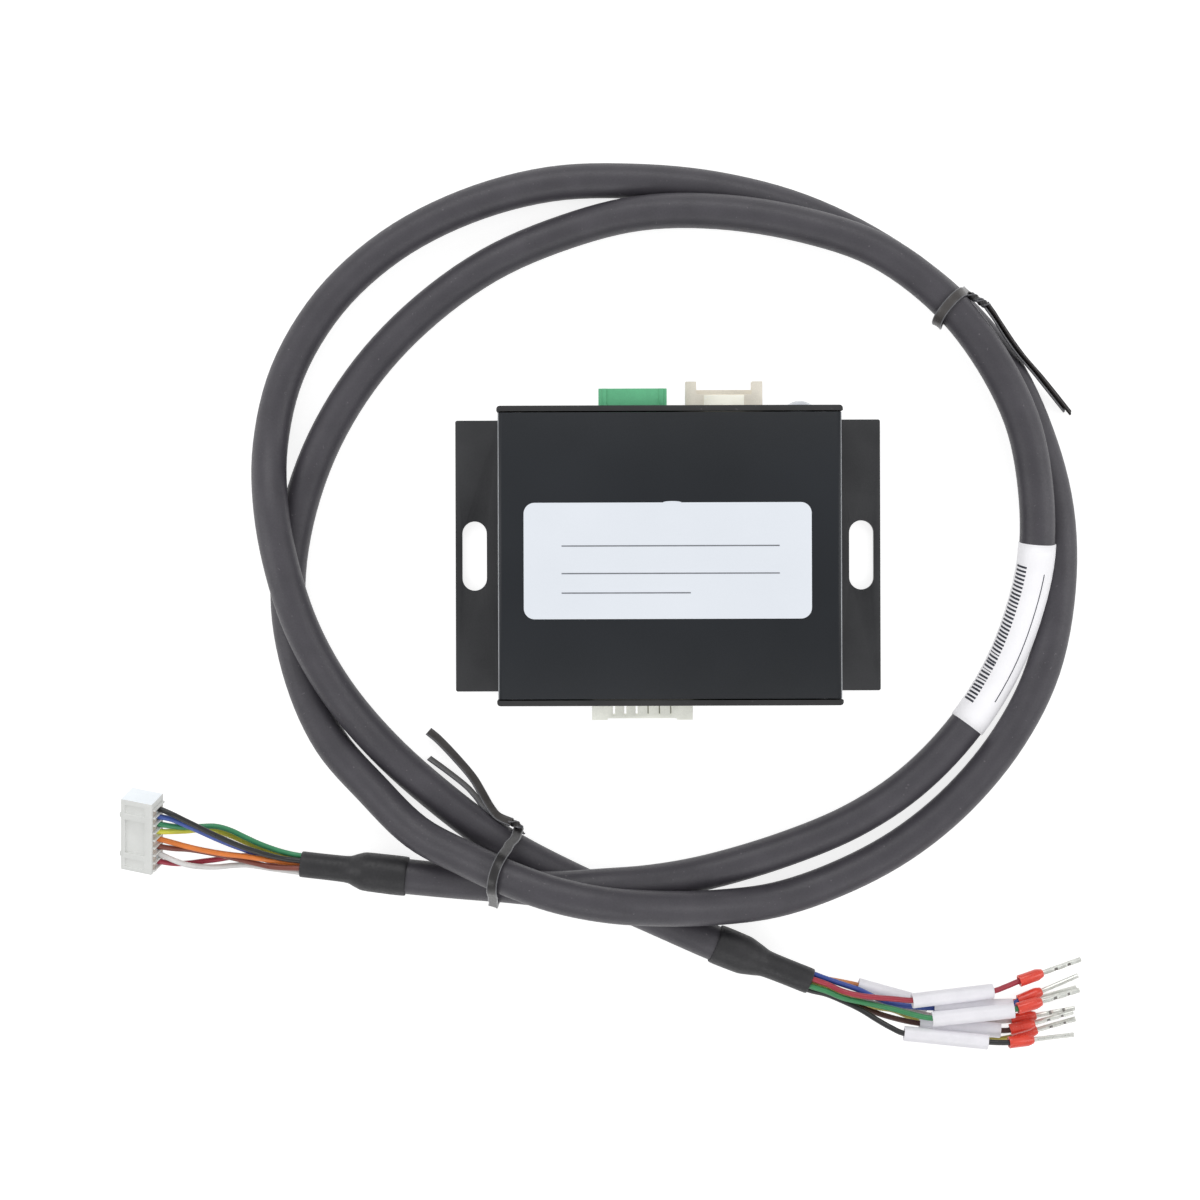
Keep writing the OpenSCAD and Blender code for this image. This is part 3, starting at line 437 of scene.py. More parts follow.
def grown_ring(bm: bmesh.types.BMesh, edges: list[bmesh.types.BMEdge]) -> tuple[list, list]:
    """Extrudes a ring of edges and returns the new ring's vertices and edges."""
    grown = bmesh.ops.extrude_edge_only(bm, edges=edges)["geom"]
    return ([g for g in grown if isinstance(g, bmesh.types.BMVert)],
            [g for g in grown if isinstance(g, bmesh.types.BMEdge)])


def finish_edges(piece: bpy.types.Object, width: float, segments: int = 2,
                 angle: float = 30.0) -> None:
    """Rounds a piece's sharp edges with a live bevel.

    Args:
        piece: the object.
        width: width of the round, in millimetres.
        segments: faces across the round.
        angle: smallest angle that counts as sharp, in degrees.
    """
    soft = piece.modifiers.new("soft_edges", "BEVEL")
    soft.width = width * MM
    soft.segments = segments
    soft.limit_method = "ANGLE"
    soft.angle_limit = math.radians(angle)
    soft.harden_normals = True


def axis_matrix(start: Sequence[float], end: Sequence[float]) -> Matrix:
    """Returns the transform that takes the origin to start and +Z towards end."""
    aim = metres(end) - metres(start)
    turn = aim.to_track_quat("Z", "Y").to_matrix().to_4x4()
    return Matrix.Translation(metres(start)) @ turn


def spun(name: str, profile: Sequence[Pair], place: Matrix, steps: int = 32,
         ripple: Callable[[Vector], float] | None = None) -> bpy.types.Object:
    """Spins a profile of radius and height about Z.

    Args:
        name: name of the object.
        profile: closed outline as radius and height pairs, in millimetres.
        place: where the spun shape goes.
        steps: faces round the shape.
        ripple: optional scale of the radius at a point, for hand-shrunk shapes.

    Returns:
        The object.
    """
    bm = bmesh.new()
    rim = [bm.verts.new((r * MM, 0, h * MM)) for r, h in profile]
    edges = [bm.edges.new((rim[i], rim[(i + 1) % len(rim)])) for i in range(len(rim))]
    bmesh.ops.spin(bm, geom=rim + edges, axis=(0, 0, 1), cent=(0, 0, 0), steps=steps,
                   angle=2 * math.pi, use_merge=True)
    if ripple:
        for vert in bm.verts:
            grow = ripple(vert.co)
            vert.co.x *= grow
            vert.co.y *= grow
    bmesh.ops.transform(bm, matrix=place, verts=bm.verts)
    return place_mesh(name, bm)


def swelling(share: float, across: float, along_axis: float,
             seat: float) -> Callable[[Vector], float]:
    """Returns a ripple for spun, the slight unevenness of a soft tube.

    Args:
        share: how far the skin swells or sinks, as a share of its radius.
        across: how fast it changes across the axis, per metre.
        along_axis: how fast it changes along the axis, per metre.
        seat: where this tube starts in the noise.

    Returns:
        The function from a point to the scale of its radius.
    """
    def ripple(at: Vector) -> float:
        """Returns how far the skin swells or sinks at a point."""
        place = Vector((at.x * across, at.y * across, at.z * along_axis + seat))
        return 1 + share * noise.noise(place)

    return ripple


def smooth_route(points: Sequence[Sequence[float]], steps: int, lowest: float) -> list[Vector]:
    """Draws a smooth line through given points.

    Args:
        points: the points, in millimetres.
        steps: points drawn for each span.
        lowest: least height of the line, in millimetres.

    Returns:
        The line's points, in metres.
    """
    knots = [Vector(p) for p in points]
    ends = [2 * knots[0] - knots[1], *knots, 2 * knots[-1] - knots[-2]]
    line: list[Vector] = []
    for i in range(1, len(ends) - 2):
        a, b, c, d = ends[i - 1:i + 3]
        t1 = (b - a).length ** 0.5
        t2 = t1 + (c - b).length ** 0.5
        t3 = t2 + (d - c).length ** 0.5
        for k in range(steps):
            t = t1 + (t2 - t1) * k / steps
            ab = a * ((t1 - t) / t1) + b * (t / t1)
            bc = b * ((t2 - t) / (t2 - t1)) + c * ((t - t1) / (t2 - t1))
            cd = c * ((t3 - t) / (t3 - t2)) + d * ((t - t2) / (t3 - t2))
            abc = ab * ((t2 - t) / t2) + bc * (t / t2)
            bcd = bc * ((t3 - t) / (t3 - t1)) + cd * ((t - t1) / (t3 - t1))
            line.append(abc * ((t2 - t) / (t2 - t1)) + bcd * ((t - t1) / (t2 - t1)))
    line.append(knots[-1])
    for point in line:
        point.z = max(point.z, lowest)
    return [point * MM for point in line]


def cord_curve(name: str, route: Sequence[Vector], diameter: float, sides: int) -> bpy.types.Object:
    """Makes a round cord as a curve of one open spline.

    Args:
        name: name of the object.
        route: its centreline, in metres.
        diameter: its diameter, in millimetres.
        sides: quarter resolution of its round section.

    Returns:
        The curve object.
    """
    curve = bpy.data.curves.new(name, "CURVE")
    curve.dimensions = "3D"
    curve.bevel_depth = diameter * MM / 2
    curve.bevel_resolution = sides
    curve.use_fill_caps = True
    spline = curve.splines.new("POLY")
    spline.points.add(len(route) - 1)
    for knot, point in zip(spline.points, route):
        knot.co = (*point, 1)
    spline.use_smooth = True
    return linked(name, curve)


def swept(name: str, section: Sequence[Pair], route: Sequence[Vector],
          ups: Sequence[Vector], closed: bool = False, rim: float = 99.0) -> bpy.types.Object:
    """Sweeps a section along a route by extruding it ring by ring.

    Args:
        name: name of the object.
        section: outline across the route, as side and up offsets in millimetres.
        route: the line to follow, in metres.
        ups: the section's up direction at each point of the route.
        closed: whether the route ends where it starts.
        rim: side offset past which faces take the second finish, in millimetres.

    Returns:
        The object.
    """
    frames, last = [], len(route) - 1
    for i, (here, up) in enumerate(zip(route, ups)):
        before = route[i - 1] if i or closed else here
        after = route[(i + 1) % len(route)] if i < last or closed else here
        ahead = (after - before).normalized()
        side = ahead.cross(up).normalized()
        turn = Matrix((side, side.cross(ahead), ahead)).transposed().to_4x4()
        frames.append(Matrix.Translation(here) @ turn)
    bm = bmesh.new()
    across = bm.verts.layers.float.new("across")
    ring = [bm.verts.new((x * MM, y * MM, 0)) for x, y in section]
    for vert in ring:
        vert[across] = abs(vert.co.x) / MM
    bmesh.ops.transform(bm, matrix=frames[0], verts=ring)
    edges = [bm.edges.new((ring[i], ring[(i + 1) % len(ring)])) for i in range(len(ring))]
    if not closed:
        bm.faces.new(ring)
    now = frames[0]
    for target in frames[1:] + ([now] if closed else []):
        ring, edges = grown_ring(bm, edges)
        bmesh.ops.transform(bm, matrix=target @ now.inverted(), verts=ring)
        now = target
        for vert in ring:
            vert[across] = abs((now.inverted() @ vert.co).x) / MM
    for face in bm.faces:
        if sum(v[across] for v in face.verts) > rim * len(face.verts):
            face.material_index = 1
    if not closed:
        bmesh.ops.holes_fill(bm, edges=edges, sides=0)
    bm.verts.layers.float.remove(across)
    return place_mesh(name, bm)


def convex_loop(dots: Sequence[Vector]) -> list[Vector]:
    """Returns the outer loop of points in a plane, anticlockwise."""
    order = sorted(dots, key=lambda p: (p.x, p.y))

    def half(run: Sequence[Vector]) -> list[Vector]:
        """Returns one side of the loop."""
        kept: list[Vector] = []
        for dot in run:
            while len(kept) > 1:
                a, b = kept[-1] - kept[-2], dot - kept[-2]
                if a.x * b.y - a.y * b.x > 0:
                    break
                kept.pop()
            kept.append(dot)
        return kept[:-1]

    return half(order) + half(order[::-1])


def resampled(line: Sequence[Vector], count: int, closed: bool = True) -> list[Vector]:
    """Spaces points evenly along a line.

    Args:
        line: the line's corners.
        count: points wanted.
        closed: whether the line ends where it starts.

    Returns:
        The evenly spaced points.
    """
    run = list(line) + ([line[0]] if closed else [])
    marks = [0.0]
    for a, b in zip(run, run[1:]):
        marks.append(marks[-1] + (b - a).length)
    made, i = [], 0
    for k in range(count):
        want = marks[-1] * k / (count if closed else count - 1)
        while i < len(marks) - 2 and marks[i + 1] < want:
            i += 1
        part = (want - marks[i]) / max(marks[i + 1] - marks[i], 1e-12)
        made.append(run[i].lerp(run[i + 1], min(part, 1.0)))
    return made


def joined(name: str, parts: Sequence[bpy.types.Object]) -> bpy.types.Object:
    """Joins pieces into one mesh and removes the parts."""
    bm = bmesh.new()
    for part in parts:
        bm.from_mesh(part.data)
        bpy.data.objects.remove(part)
    return mesh_piece(name, bm)


def softened(frame: dict, node: str, body: Body, finish: Finish, width: float,
             segments: int = 2,
             shape: Callable[[bmesh.types.BMesh], None] | None = None) -> bpy.types.Object:
    """Rebuilds a CAD node with its edges rounded.

    Args:
        node: name of the CAD node.
        body: the body that it rides on.
        finish: its finish.
        width: width of the rounded edges, in millimetres.
        segments: faces across each round.
        shape: optional last touch to the merged mesh.

    Returns:
        The rounded piece, which replaces the node.
    """
    bm = bmesh.new()
    bm.from_mesh(frame["nodes"][node].data)
    bmesh.ops.remove_doubles(bm, verts=bm.verts, dist=CAD_WELD)
    bmesh.ops.dissolve_limit(bm, angle_limit=CAD_FLAT, verts=bm.verts, edges=bm.edges)
    for face in bm.faces:
        face.material_index = 0
    if shape:
        shape(bm)
    piece = mesh_piece(f"{node}_soft", bm)
    finish_edges(piece, width, segments)
    return dress(piece, body, finish, node)


def coat(frame: dict, finish: Finish, *nodes: str) -> None:
    """Gives CAD nodes that keep their own shape a finish.

    Args:
        finish: the finish.
        nodes: names of the nodes.
    """
    for node in nodes:
        piece = frame["nodes"][node]
        piece.data.materials.clear()
        piece.data.materials.append(finish.material())
        log.info("node %s finished with %s", node, finish.name)


# ------------------------------------------------------------------ studio


@dataclass
class Studio:
    """Camera, lamps, floor and world."""

    eye: Point = (-12.2, 0.0, 640.0)
    roll: float = -0.18
    lens: float = 106.77
    shift: float = -0.0369
    floor_glow: float = 0.78
    sky_light: float = 0.55
    lamps: tuple[tuple[str, Point, Pair, float], ...] = (
        ("soft_back", (-100, 950, 800), (1100, 500), 4.2),
        ("soft_front", (100, -950, 800), (1100, 500), 3.1),
        ("soft_left", (-950, 0, 560), (500, 900), 2.6),
        ("soft_right", (950, 0, 560), (500, 900), 2.6),
    )

    def camera(self) -> None:
        """Places the camera straight above the scene."""
        data = bpy.data.cameras.new("overhead")
        data.lens = self.lens
        data.sensor_width = 36
        data.shift_y = self.shift
        data.clip_start = 0.01
        holder = linked("overhead", data)
        holder.location = metres(self.eye)
        holder.rotation_euler = (0, 0, math.radians(self.roll))
        bpy.context.scene.camera = holder

    def lamp(self, name: str, at: Point, size: Pair, power: float) -> None:
        """Adds one soft box that faces the middle of the scene.

        Args:
            name: name of the lamp.
            at: its place, in millimetres.
            size: its width and height, in millimetres.
            power: its power, in watts.
        """
        data = bpy.data.lights.new(name, "AREA")
        data.shape = "RECTANGLE"
        data.size, data.size_y = size[0] * MM, size[1] * MM
        data.energy = power
        holder = linked(name, data)
        holder.location = metres(at)
        holder.rotation_euler = (-metres(at)).to_track_quat("-Z", "Y").to_euler()

    def floor(self) -> None:
        """Lays the plain white ground, which shows white to the camera but keeps shadows."""
        bm = bmesh.new()
        bmesh.ops.create_grid(bm, x_segments=1, y_segments=1, size=4)
        bmesh.ops.translate(bm, verts=bm.verts, vec=(0, 0, -0.0001))
        ground = place_mesh("ground", bm, smooth=False)
        paint = bpy.data.materials.new("ground_white")
        paint.use_nodes = True
        tree = paint.node_tree
        shader = tree.nodes["Principled BSDF"]
        for socket, value in (("Base Color", (0.5, 0.5, 0.5, 1)), ("Roughness", 0.9),
                              ("Specular IOR Level", 0.1)):
            shader.inputs[socket].default_value = value
        lift = tree.nodes.new("ShaderNodeEmission")
        lift.inputs["Color"].default_value = (1, 1, 1, 1)
        path = tree.nodes.new("ShaderNodeLightPath")
        seen = path.outputs["Is Camera Ray"]
        for ray in ("Is Glossy Ray", "Is Transmission Ray"):
            most = tree.nodes.new("ShaderNodeMath")
            most.operation = "MAXIMUM"
            tree.links.new(seen, most.inputs[0])
            tree.links.new(path.outputs[ray], most.inputs[1])
            seen = most.outputs[0]
        level = tree.nodes.new("ShaderNodeMath")
        level.operation = "MULTIPLY"
        level.inputs[1].default_value = self.floor_glow
        tree.links.new(seen, level.inputs[0])
        tree.links.new(level.outputs[0], lift.inputs["Strength"])
        both = tree.nodes.new("ShaderNodeAddShader")
        tree.links.new(shader.outputs[0], both.inputs[0])
        tree.links.new(lift.outputs[0], both.inputs[1])
        tree.links.new(both.outputs[0], tree.nodes["Material Output"].inputs["Surface"])
        ground.data.materials.append(paint)

    def world(self) -> None:
        """Fills the scene with a plain even light."""
        sky = bpy.data.worlds.new("soft_room")
        sky.use_nodes = True
        back = sky.node_tree.nodes["Background"]
        back.inputs["Color"].default_value = (1, 1, 1, 1)
        back.inputs["Strength"].default_value = self.sky_light
        bpy.context.scene.world = sky

    def build(self) -> None:
        """Sets up everything but the camera."""
        self.floor()
        self.world()
        for lamp in self.lamps:
            self.lamp(*lamp)
        bpy.context.scene.view_settings.view_transform = "Standard"


# ------------------------------------------------------------------- cable

ROUTE_STEPS = 6
# the right half of a coated tie's outline: a flat web that ends in a round rim
TIE_HALF = (
    (0.20, -0.13), (0.50, -0.13), (0.70, -0.20), (0.80, -0.19), (0.89, -0.11), (0.92, 0.0),
    (0.89, 0.11), (0.80, 0.19), (0.70, 0.20), (0.50, 0.13), (0.20, 0.13),
)
TIE_SECTION = (*TIE_HALF, *((-x, y) for x, y in reversed(TIE_HALF)))


def along(axis: Sequence[Sequence[float]], far: float) -> Vector:
    """Returns the point this many millimetres along an axis."""
    start, end = Vector(axis[0]), Vector(axis[1])
    return start + (end - start).normalized() * far


@dataclass
class SignalCable:
    """The jacket with its boots, tag and ties."""

    diameter: float = 6.3
    plug_axis: tuple[Point, Point] = ((-46.8, -57.2, 4.1), (-65.9, -55.0, 3.0))
    lead_axis: tuple[Point, Point] = ((8.1, -69.3, 4.0), (25.2, -76.3, 3.0))
    plug_grip: float = 8.0
    lead_grip: float = 6.0
    laid: tuple[Point, ...] = (
        (-38, -58, 4.9), (-29.5, -58.5, 7), (-21, -59, 9.5), (-12, -58.5, 10), (-3, -58, 7.7),
        (7, -56.5, 4.6), (21, -52.5, 3.2), (33, -47.5, 3.2), (43, -41, 3.2), (52, -32, 3.2),
        (59, -21.5, 3.3), (63, -11, 6), (65.2, 0, 8.5), (65, 12, 9.3), (62.5, 24, 9.8),
        (56, 36.5, 10.2), (48, 46, 10.5), (37, 54, 10), (24, 58.5, 9.4), (9, 61, 8.4),
        (-5, 61, 5.9), (-18, 58, 3.4), (-32, 52, 3.2), (-45, 42.5, 3.2), (-55, 31.5, 3.2),
        (-62.5, 18.5, 3.2), (-67, 4, 3.2), (-68, -9, 3.2), (-65.5, -22, 3.2),
        (-60.5, -33, 3.6), (-53, -41.5, 5), (-45, -49, 7.8), (-36, -53.5, 11.4),
        (-27.5, -57, 15), (-19.5, -59.6, 16.4), (-11, -61.3, 16), (-2, -62.2, 12.8),
        (8, -62.5, 8.4), (19, -61.5, 4.8), (30, -58, 3.2), (41.5, -52, 3.2), (52, -43.5, 3.2),
        (61, -32.5, 3.2), (67, -20.5, 3.2), (69.8, -6, 3.2), (69.5, 8, 3.2),
        (66, 21.5, 3.2), (60, 34, 3.5), (50.5, 45, 4.1), (38, 54.5, 3.5), (24, 61.5, 3.2),
        (9, 65.5, 3.2), (-6, 67, 3.2), (-21, 66.5, 3.2), (-36, 62.5, 3.2), (-49.5, 55.5, 3.2),
        (-60.5, 45.5, 3.2), (-68, 33, 3.2), (-71, 20, 4.4), (-70.5, 8, 8.5), (-68, -4, 10),
        (-64.5, -14, 9.4), (-59, -24, 7.2), (-51, -34, 3.8), (-40.5, -43.5, 3.3),
        (-29.5, -51.5, 4), (-17, -58.2, 3.2), (-4, -64, 3.2),
    )
    # how far a boot's skin and bore stand off the jacket, and the radii of its thin end
    boot_wall: Pair = (0.4, 0.05)
    boot_neck: Pair = (2.35, 2.05)
    # the spans of the route that the tag starts and ends in, and how far into each
    tag_span: tuple[int, int] = (11, 14)
    tag_lead: float = 0.2
    tag_tail: float = 0.1
    tag_film: Pair = (0.02, 0.17)
    tag_lap: float = 0.07
    tag_ticks: int = 38
    tick_step: int = 6
    tick_arc: Pair = (120, 163)
    rule_arc: Pair = (60, 63)
    # a tie's stand-off from the jacket, where its painted rim highlight starts and how far down it
    # tilts
    tie_reach: float = 0.72
    tie_rim: float = 0.68
    tie_drop: float = 4.5
    # a twisted strand's share of the full width, where its painted rim highlight starts and its
    # reach from the axis
    strand: float = 0.62
    strand_rim: float = 0.44
    strand_reach: float = 0.40
    pieces: dict[str, bpy.types.Object] = field(default_factory=dict)

    def knots(self) -> list[Vector]:
        """Returns the jacket's points from the plug boot to the lead boot."""
        return [
            along(self.plug_axis, self.plug_grip), along(self.plug_axis, -0.5),
            *(Vector(p) for p in self.laid),
            along(self.lead_axis, -0.5), along(self.lead_axis, self.lead_grip),
        ]

    def build(self) -> None:
        route = smooth_route(self.knots(), ROUTE_STEPS, self.diameter / 2)
        jacket = cord_curve("cable_cover", route, self.diameter, 8)
        self.boot("boot_at_plug", "plug_boot", self.plug_axis, self.plug_grip, 2.3)
        self.boot("boot_at_leads", "lead_boot", self.lead_axis, self.lead_grip, 3.5)
        self.tag()
        self.upper_tie()
        self.lower_tie()
        dress(jacket, Body.CABLE, JACKET, "cable_jacket")

    def boot(self, name: str, node: str, axis: tuple[Point, Point], grip: float,
             shoulder: float) -> None:
        """Makes one shrunk boot, wide over the jacket and narrow over the cores.

        Args:
            name: name of the piece.
            node: the CAD node that it replaces.
            axis: the ends of its axis, wide end first.
            grip: length of the wide part.
            shoulder: length of the shoulder.
        """
        far = (Vector(axis[1]) - Vector(axis[0])).length
        wide, bore = (self.diameter / 2 + wall for wall in self.boot_wall)
        narrow, thin = self.boot_neck
        end = grip + shoulder
        profile = [
            (bore, 0.15), (wide - 0.1, 0.0), (wide, 0.2), (wide + 0.02, grip * 0.35),
            (wide - 0.03, grip * 0.7), (wide - 0.05, grip), (wide - 0.35, grip + shoulder * 0.25),
            (narrow + 0.45, grip + shoulder * 0.75), (narrow + 0.08, end),
            (narrow, end + 1.5), (narrow - 0.03, far - 3), (narrow, far - 0.2),
            (narrow - 0.08, far), (thin, far - 0.1), (thin, end), (bore, grip),
        ]

        ripple = swelling(0.014, 260, 120, grip * 7)
        piece = spun(name, profile, axis_matrix(*axis), 40, ripple)
        round_off = piece.modifiers.new("round_off", "SUBSURF")
        round_off.levels = round_off.render_levels = 1
        self.pieces[name] = dress(piece, Body.CABLE, SHRINK, node)

    def tag(self) -> None:
        """Wraps the blank tag round the cable."""
        knots = self.knots()
        whole = smooth_route(knots, ROUTE_STEPS, self.diameter / 2)
        ends = []
        for knot, part in zip(self.tag_span, (self.tag_lead, self.tag_tail)):
            at = knots[knot].lerp(knots[knot + 1], part) * MM
            ends.append(min(range(len(whole)), key=lambda i: (whole[i] - at).length))
        line = whole[ends[0]:ends[1] + 1]
        inner, outer = (self.diameter / 2 + film for film in self.tag_film)
        # the film laps over itself a little more than once round
        lap = [(math.radians(a), outer + (self.tag_lap if a > 330 else 0.0))
               for a in range(-20, 372, 8)]
        section = [(r * math.cos(a), r * math.sin(a)) for a, r in lap]
        section += [(inner * math.cos(a), inner * math.sin(a)) for a, _ in reversed(lap)]
        piece = swept("cable_tag", section, line, [UP] * len(line))
        self.pieces["cable_tag"] = dress(piece, Body.CABLE, TAG, "cable_label")
        self.pieces["tag_ruling"] = dress(self.ruling(line, outer), Body.CABLE, TICK)

    def ruling(self, line: Sequence[Vector], outer: float) -> bpy.types.Object:
        """Prints a plain scale of even ticks and one ruled line on the tag.

        Args:
            line: the tag's centreline, in metres.
            outer: the tag's outer radius, in millimetres.

        Returns:
            The printed marks as one mesh.
        """
        step = self.tick_step
        fine = resampled(line, step * (self.tag_ticks + 10), closed=False)

        def arc(low: float, high: float) -> list[Pair]:
            """Returns a thin curved patch from one angle to another."""
            turns = [math.radians(low + (high - low) * k / 6) for k in range(7)]
            return [(r * math.cos(a), r * math.sin(a))
                    for r, run in ((outer + 0.03, turns), (outer - 0.02, turns[::-1]))
                    for a in run]

        marks = []
        for k in range(self.tag_ticks):
            at = step * (k + 5)
            marks.append(swept(f"tick_{k}", arc(*self.tick_arc), fine[at:at + 4], [UP] * 4))
        rule = fine[8 * step:-6 * step:4]
        marks.append(swept("rule", arc(*self.rule_arc), rule, [UP] * len(rule)))
        return joined("tag_ruling", marks)

    def band(self, name: str, centre: Point, ahead: Vector, circles: Sequence[Pair],
             bow: float, tilt: float, tone: Tone) -> bpy.types.Object:
        """Makes a rimmed band that hugs a stack of round cables.

        Args:
            name: name of the piece.
            centre: a point of the band's upright plane on the ground.
            ahead: the plane's level direction.
            circles: the cables' centres in that plane, as level and upright offsets.
            bow: how far the band's upper run bows out of the plane, in millimetres.
            tilt: how far the band drifts out of the plane for each millimetre it drops.
            tone: the look of its face, plain or with painted light or shade.

        Returns:
            The band.
        """
        reach = self.diameter / 2 + self.tie_reach
        dots = [Vector((c[0] + reach * math.cos(a), c[1] + reach * math.sin(a)))
                for c in circles for a in (math.radians(k * 12) for k in range(30))]
        loop = convex_loop(dots)
        flat = Vector((ahead.x, ahead.y, 0)).normalized()
        middle = Vector((sum(p.x for p in loop), sum(p.y for p in loop))) / len(loop)
        left, right = min(p.x for p in loop), max(p.x for p in loop)
        crest = max(p.y for p in loop)
        aside = flat.cross(UP)
        route, ups = [], []
        for dot in resampled(loop, 120):
            across = math.sin(math.pi * (dot.x - left) / (right - left))
            lift = min(1.0, max(0.0, (dot.y - middle.y) / 3))
            drift = bow * across * lift + tilt * min(crest - dot.y, self.tie_drop)
            route.append(metres(centre) + (flat * dot.x + UP * dot.y + aside * drift) * MM)
            out = (dot - middle).normalized()
            ups.append(flat * out.x + UP * out.y)
        piece = swept(name, TIE_SECTION, route, ups, closed=True, rim=self.tie_rim)
        return self.toned(piece, tone)

    def twist(self, name: str, points: Sequence[Point], turns: float) -> bpy.types.Object:
        """Makes two flat strands twisted round each other.

        Args:
            name: name of the piece.
            points: the twist's centreline, in millimetres.
            turns: how many turns the strands make.

        Returns:
            The twisted pair as one mesh.
        """
        line = resampled([metres(p) for p in points], 48, closed=False)
        ahead = (line[-1] - line[0]).normalized()
        side = ahead.cross(UP).normalized()
        up = side.cross(ahead)
        narrow = [(self.strand * x, y) for x, y in TIE_SECTION]
        strands = []
        for phase in (0.0, math.pi):
            route, ups = [], []
            for i, at in enumerate(line):
                a = phase + 2 * math.pi * turns * i / (len(line) - 1)
                out = side * math.cos(a) + up * math.sin(a)
                route.append(at + out * self.strand_reach * MM)
                ups.append(out)
            strands.append(swept(f"{name}_{len(strands)}", narrow, route, ups,
                                 rim=self.strand_rim))
        return joined(name, strands)

    @staticmethod
    def toned(piece: bpy.types.Object, tone: Tone) -> bpy.types.Object:
        """Gives the flat faces of a tie's part their look, plain or painted light or shade, and its
        rims too where that is painted shade.
        """
        for face in piece.data.polygons:
            if tone is Tone.PAINTED_SHADE or face.material_index == Tone.PLAIN.value:
                face.material_index = tone.value
        return piece

    def tail(self, name: str, points: Sequence[Point], lean: float, aside: float,
             tone: Tone) -> bpy.types.Object:
        """Makes one loose flat end of a tie.

        Args:
            name: name of the piece.
            points: its centreline, in millimetres.
            lean: how far its face turns from level, in degrees.
            aside: how far it lies to the right of the points, in millimetres.
            tone: the look of its face, plain or with painted light or shade.

        Returns:
            The tail.
        """
        line = smooth_route(points, 8, 0.35)
        ahead = line[-1] - line[0]
        step = ahead.cross(UP).normalized() * aside * MM
        up = Matrix.Rotation(math.radians(lean), 3, ahead) @ UP
        piece = swept(name, TIE_SECTION, [p + step for p in line], [up] * len(line),
                      rim=self.tie_rim)
        return self.toned(piece, tone)

    def upper_tie(self) -> None:
        """Makes the tie at the upper right of the coil."""
        loose = [(56.4, 44.2, 10.2), (57.9, 42.3, 9.3), (59.1, 40.6, 8.4), (61.2, 37.7, 7.2),
                 (63.1, 35.4, 6.0), (66.6, 31.8, 3.2)]
        neck = [(53.2, 46.0, 10.3), (54.9, 45.0, 10.5), (56.5, 44.0, 10.2)]
        # the band and tail b take the painted light, tail a the painted shade
        self.fasten("tie_above", "upper_tie", [
            self.band("upper_band", (49.5, 44.4, 0), Vector((0.656, 0.755, 0)),
                      [(0.94, 4.1), (-0.36, 10.42)], 0.0, 0.26, Tone.PAINTED_LIGHT),
            self.twist("upper_twist", neck, 1),
            self.tail("upper_tail_a", [*loose, (72.2, 25.2, 0.95)], -70, -0.22, Tone.PAINTED_SHADE),
            self.tail("upper_tail_b", [*loose, (71.5, 26.1, 1.05)], -62, 0.30, Tone.PAINTED_LIGHT),
        ])

    def lower_tie(self) -> None:
        """Makes the tie at the lower left of the coil."""
        neck = [(-26.4, -49.5, 5), (-26.8, -48.2, 5.6), (-28.2, -47.3, 5.4)]
        high = [(-28.1, -47.5, 5.6), (-30.6, -46.4, 4.9), (-31.9, -44.9, 4.3),
                (-33.7, -41.9, 3.2), (-35.0, -39.8, 2.6), (-38.0, -36.3, 1.7),
                (-41.5, -32.7, 1.1), (-43.1, -31.4, 0.95)]
        low = [(-28.1, -47.8, 5.0), (-31.5, -46.0, 4.0), (-33.4, -44.5, 3.4),
               (-34.5, -43.1, 3.0), (-36.2, -41.3, 2.4), (-39.8, -38.5, 1.5),
               (-43.0, -36.2, 1.0)]
        # tail a takes the painted light
        self.fasten("tie_below", "lower_tie", [
            self.band("lower_band", (-29.3, -54.5, 0), Vector((-4.6, -13.9, 0)),
                      [(-2.6, 4.25), (4.2, 6.9), (1.6, 14.4)], 1.2, -0.10, Tone.PLAIN),
            self.twist("lower_twist", neck, 1),
            self.tail("lower_tail_a", high, 40, 0.0, Tone.PAINTED_LIGHT),
            self.tail("lower_tail_b", low, 68, 0.0, Tone.PLAIN),
        ])

    def fasten(self, name: str, node: str, parts: Sequence[bpy.types.Object]) -> None:
        """Joins the parts of a tie and gives them their finishes.

        Args:
            name: name of the tie.
            node: the CAD node that it replaces.
            parts: its band, twist and tails.
        """
        piece = dress(joined(name, parts), Body.CABLE, TIE, node)
        # the added finishes paint a highlight on the rims, and light and shade on the faces
        for finish in (TIE_RIM_HIGHLIGHT, TIE_PAINTED_LIGHT, TIE_PAINTED_SHADE):
            piece.data.materials.append(finish.material())
        self.pieces[name] = piece


# a bundle has one core in its middle, seat 0, and the others round it at this reach
OUTER_SEATS = 7
BUNDLE_REACH = 1.53


def bundle_run(axis: tuple[Point, Point], seat: int, grip: float) -> list[Vector]:
    """Returns a core's points inside a boot, from the jacket to just past the mouth.

    Args:
        axis: the boot's axis, wide end first.
        seat: 0 for the middle core, 1 to 7 for those round it from +Y.
        grip: length of the boot's wide part.

    Returns:
        Three points, in millimetres.
    """
    ahead = (Vector(axis[1]) - Vector(axis[0])).normalized()
    flat = Vector((ahead.y, -ahead.x, 0)).normalized()
    side = flat if flat.y > 0 else -flat
    turn = math.radians(90 / OUTER_SEATS + (seat - 1) * 360 / OUTER_SEATS)
    reach = BUNDLE_REACH if seat else 0.0
    out = (side * math.cos(turn) + UP * math.sin(turn)) * reach
    far = (Vector(axis[1]) - Vector(axis[0])).length
    return [along(axis, s) + out for s in (grip + 0.3, grip + 4, far + 0.3)]


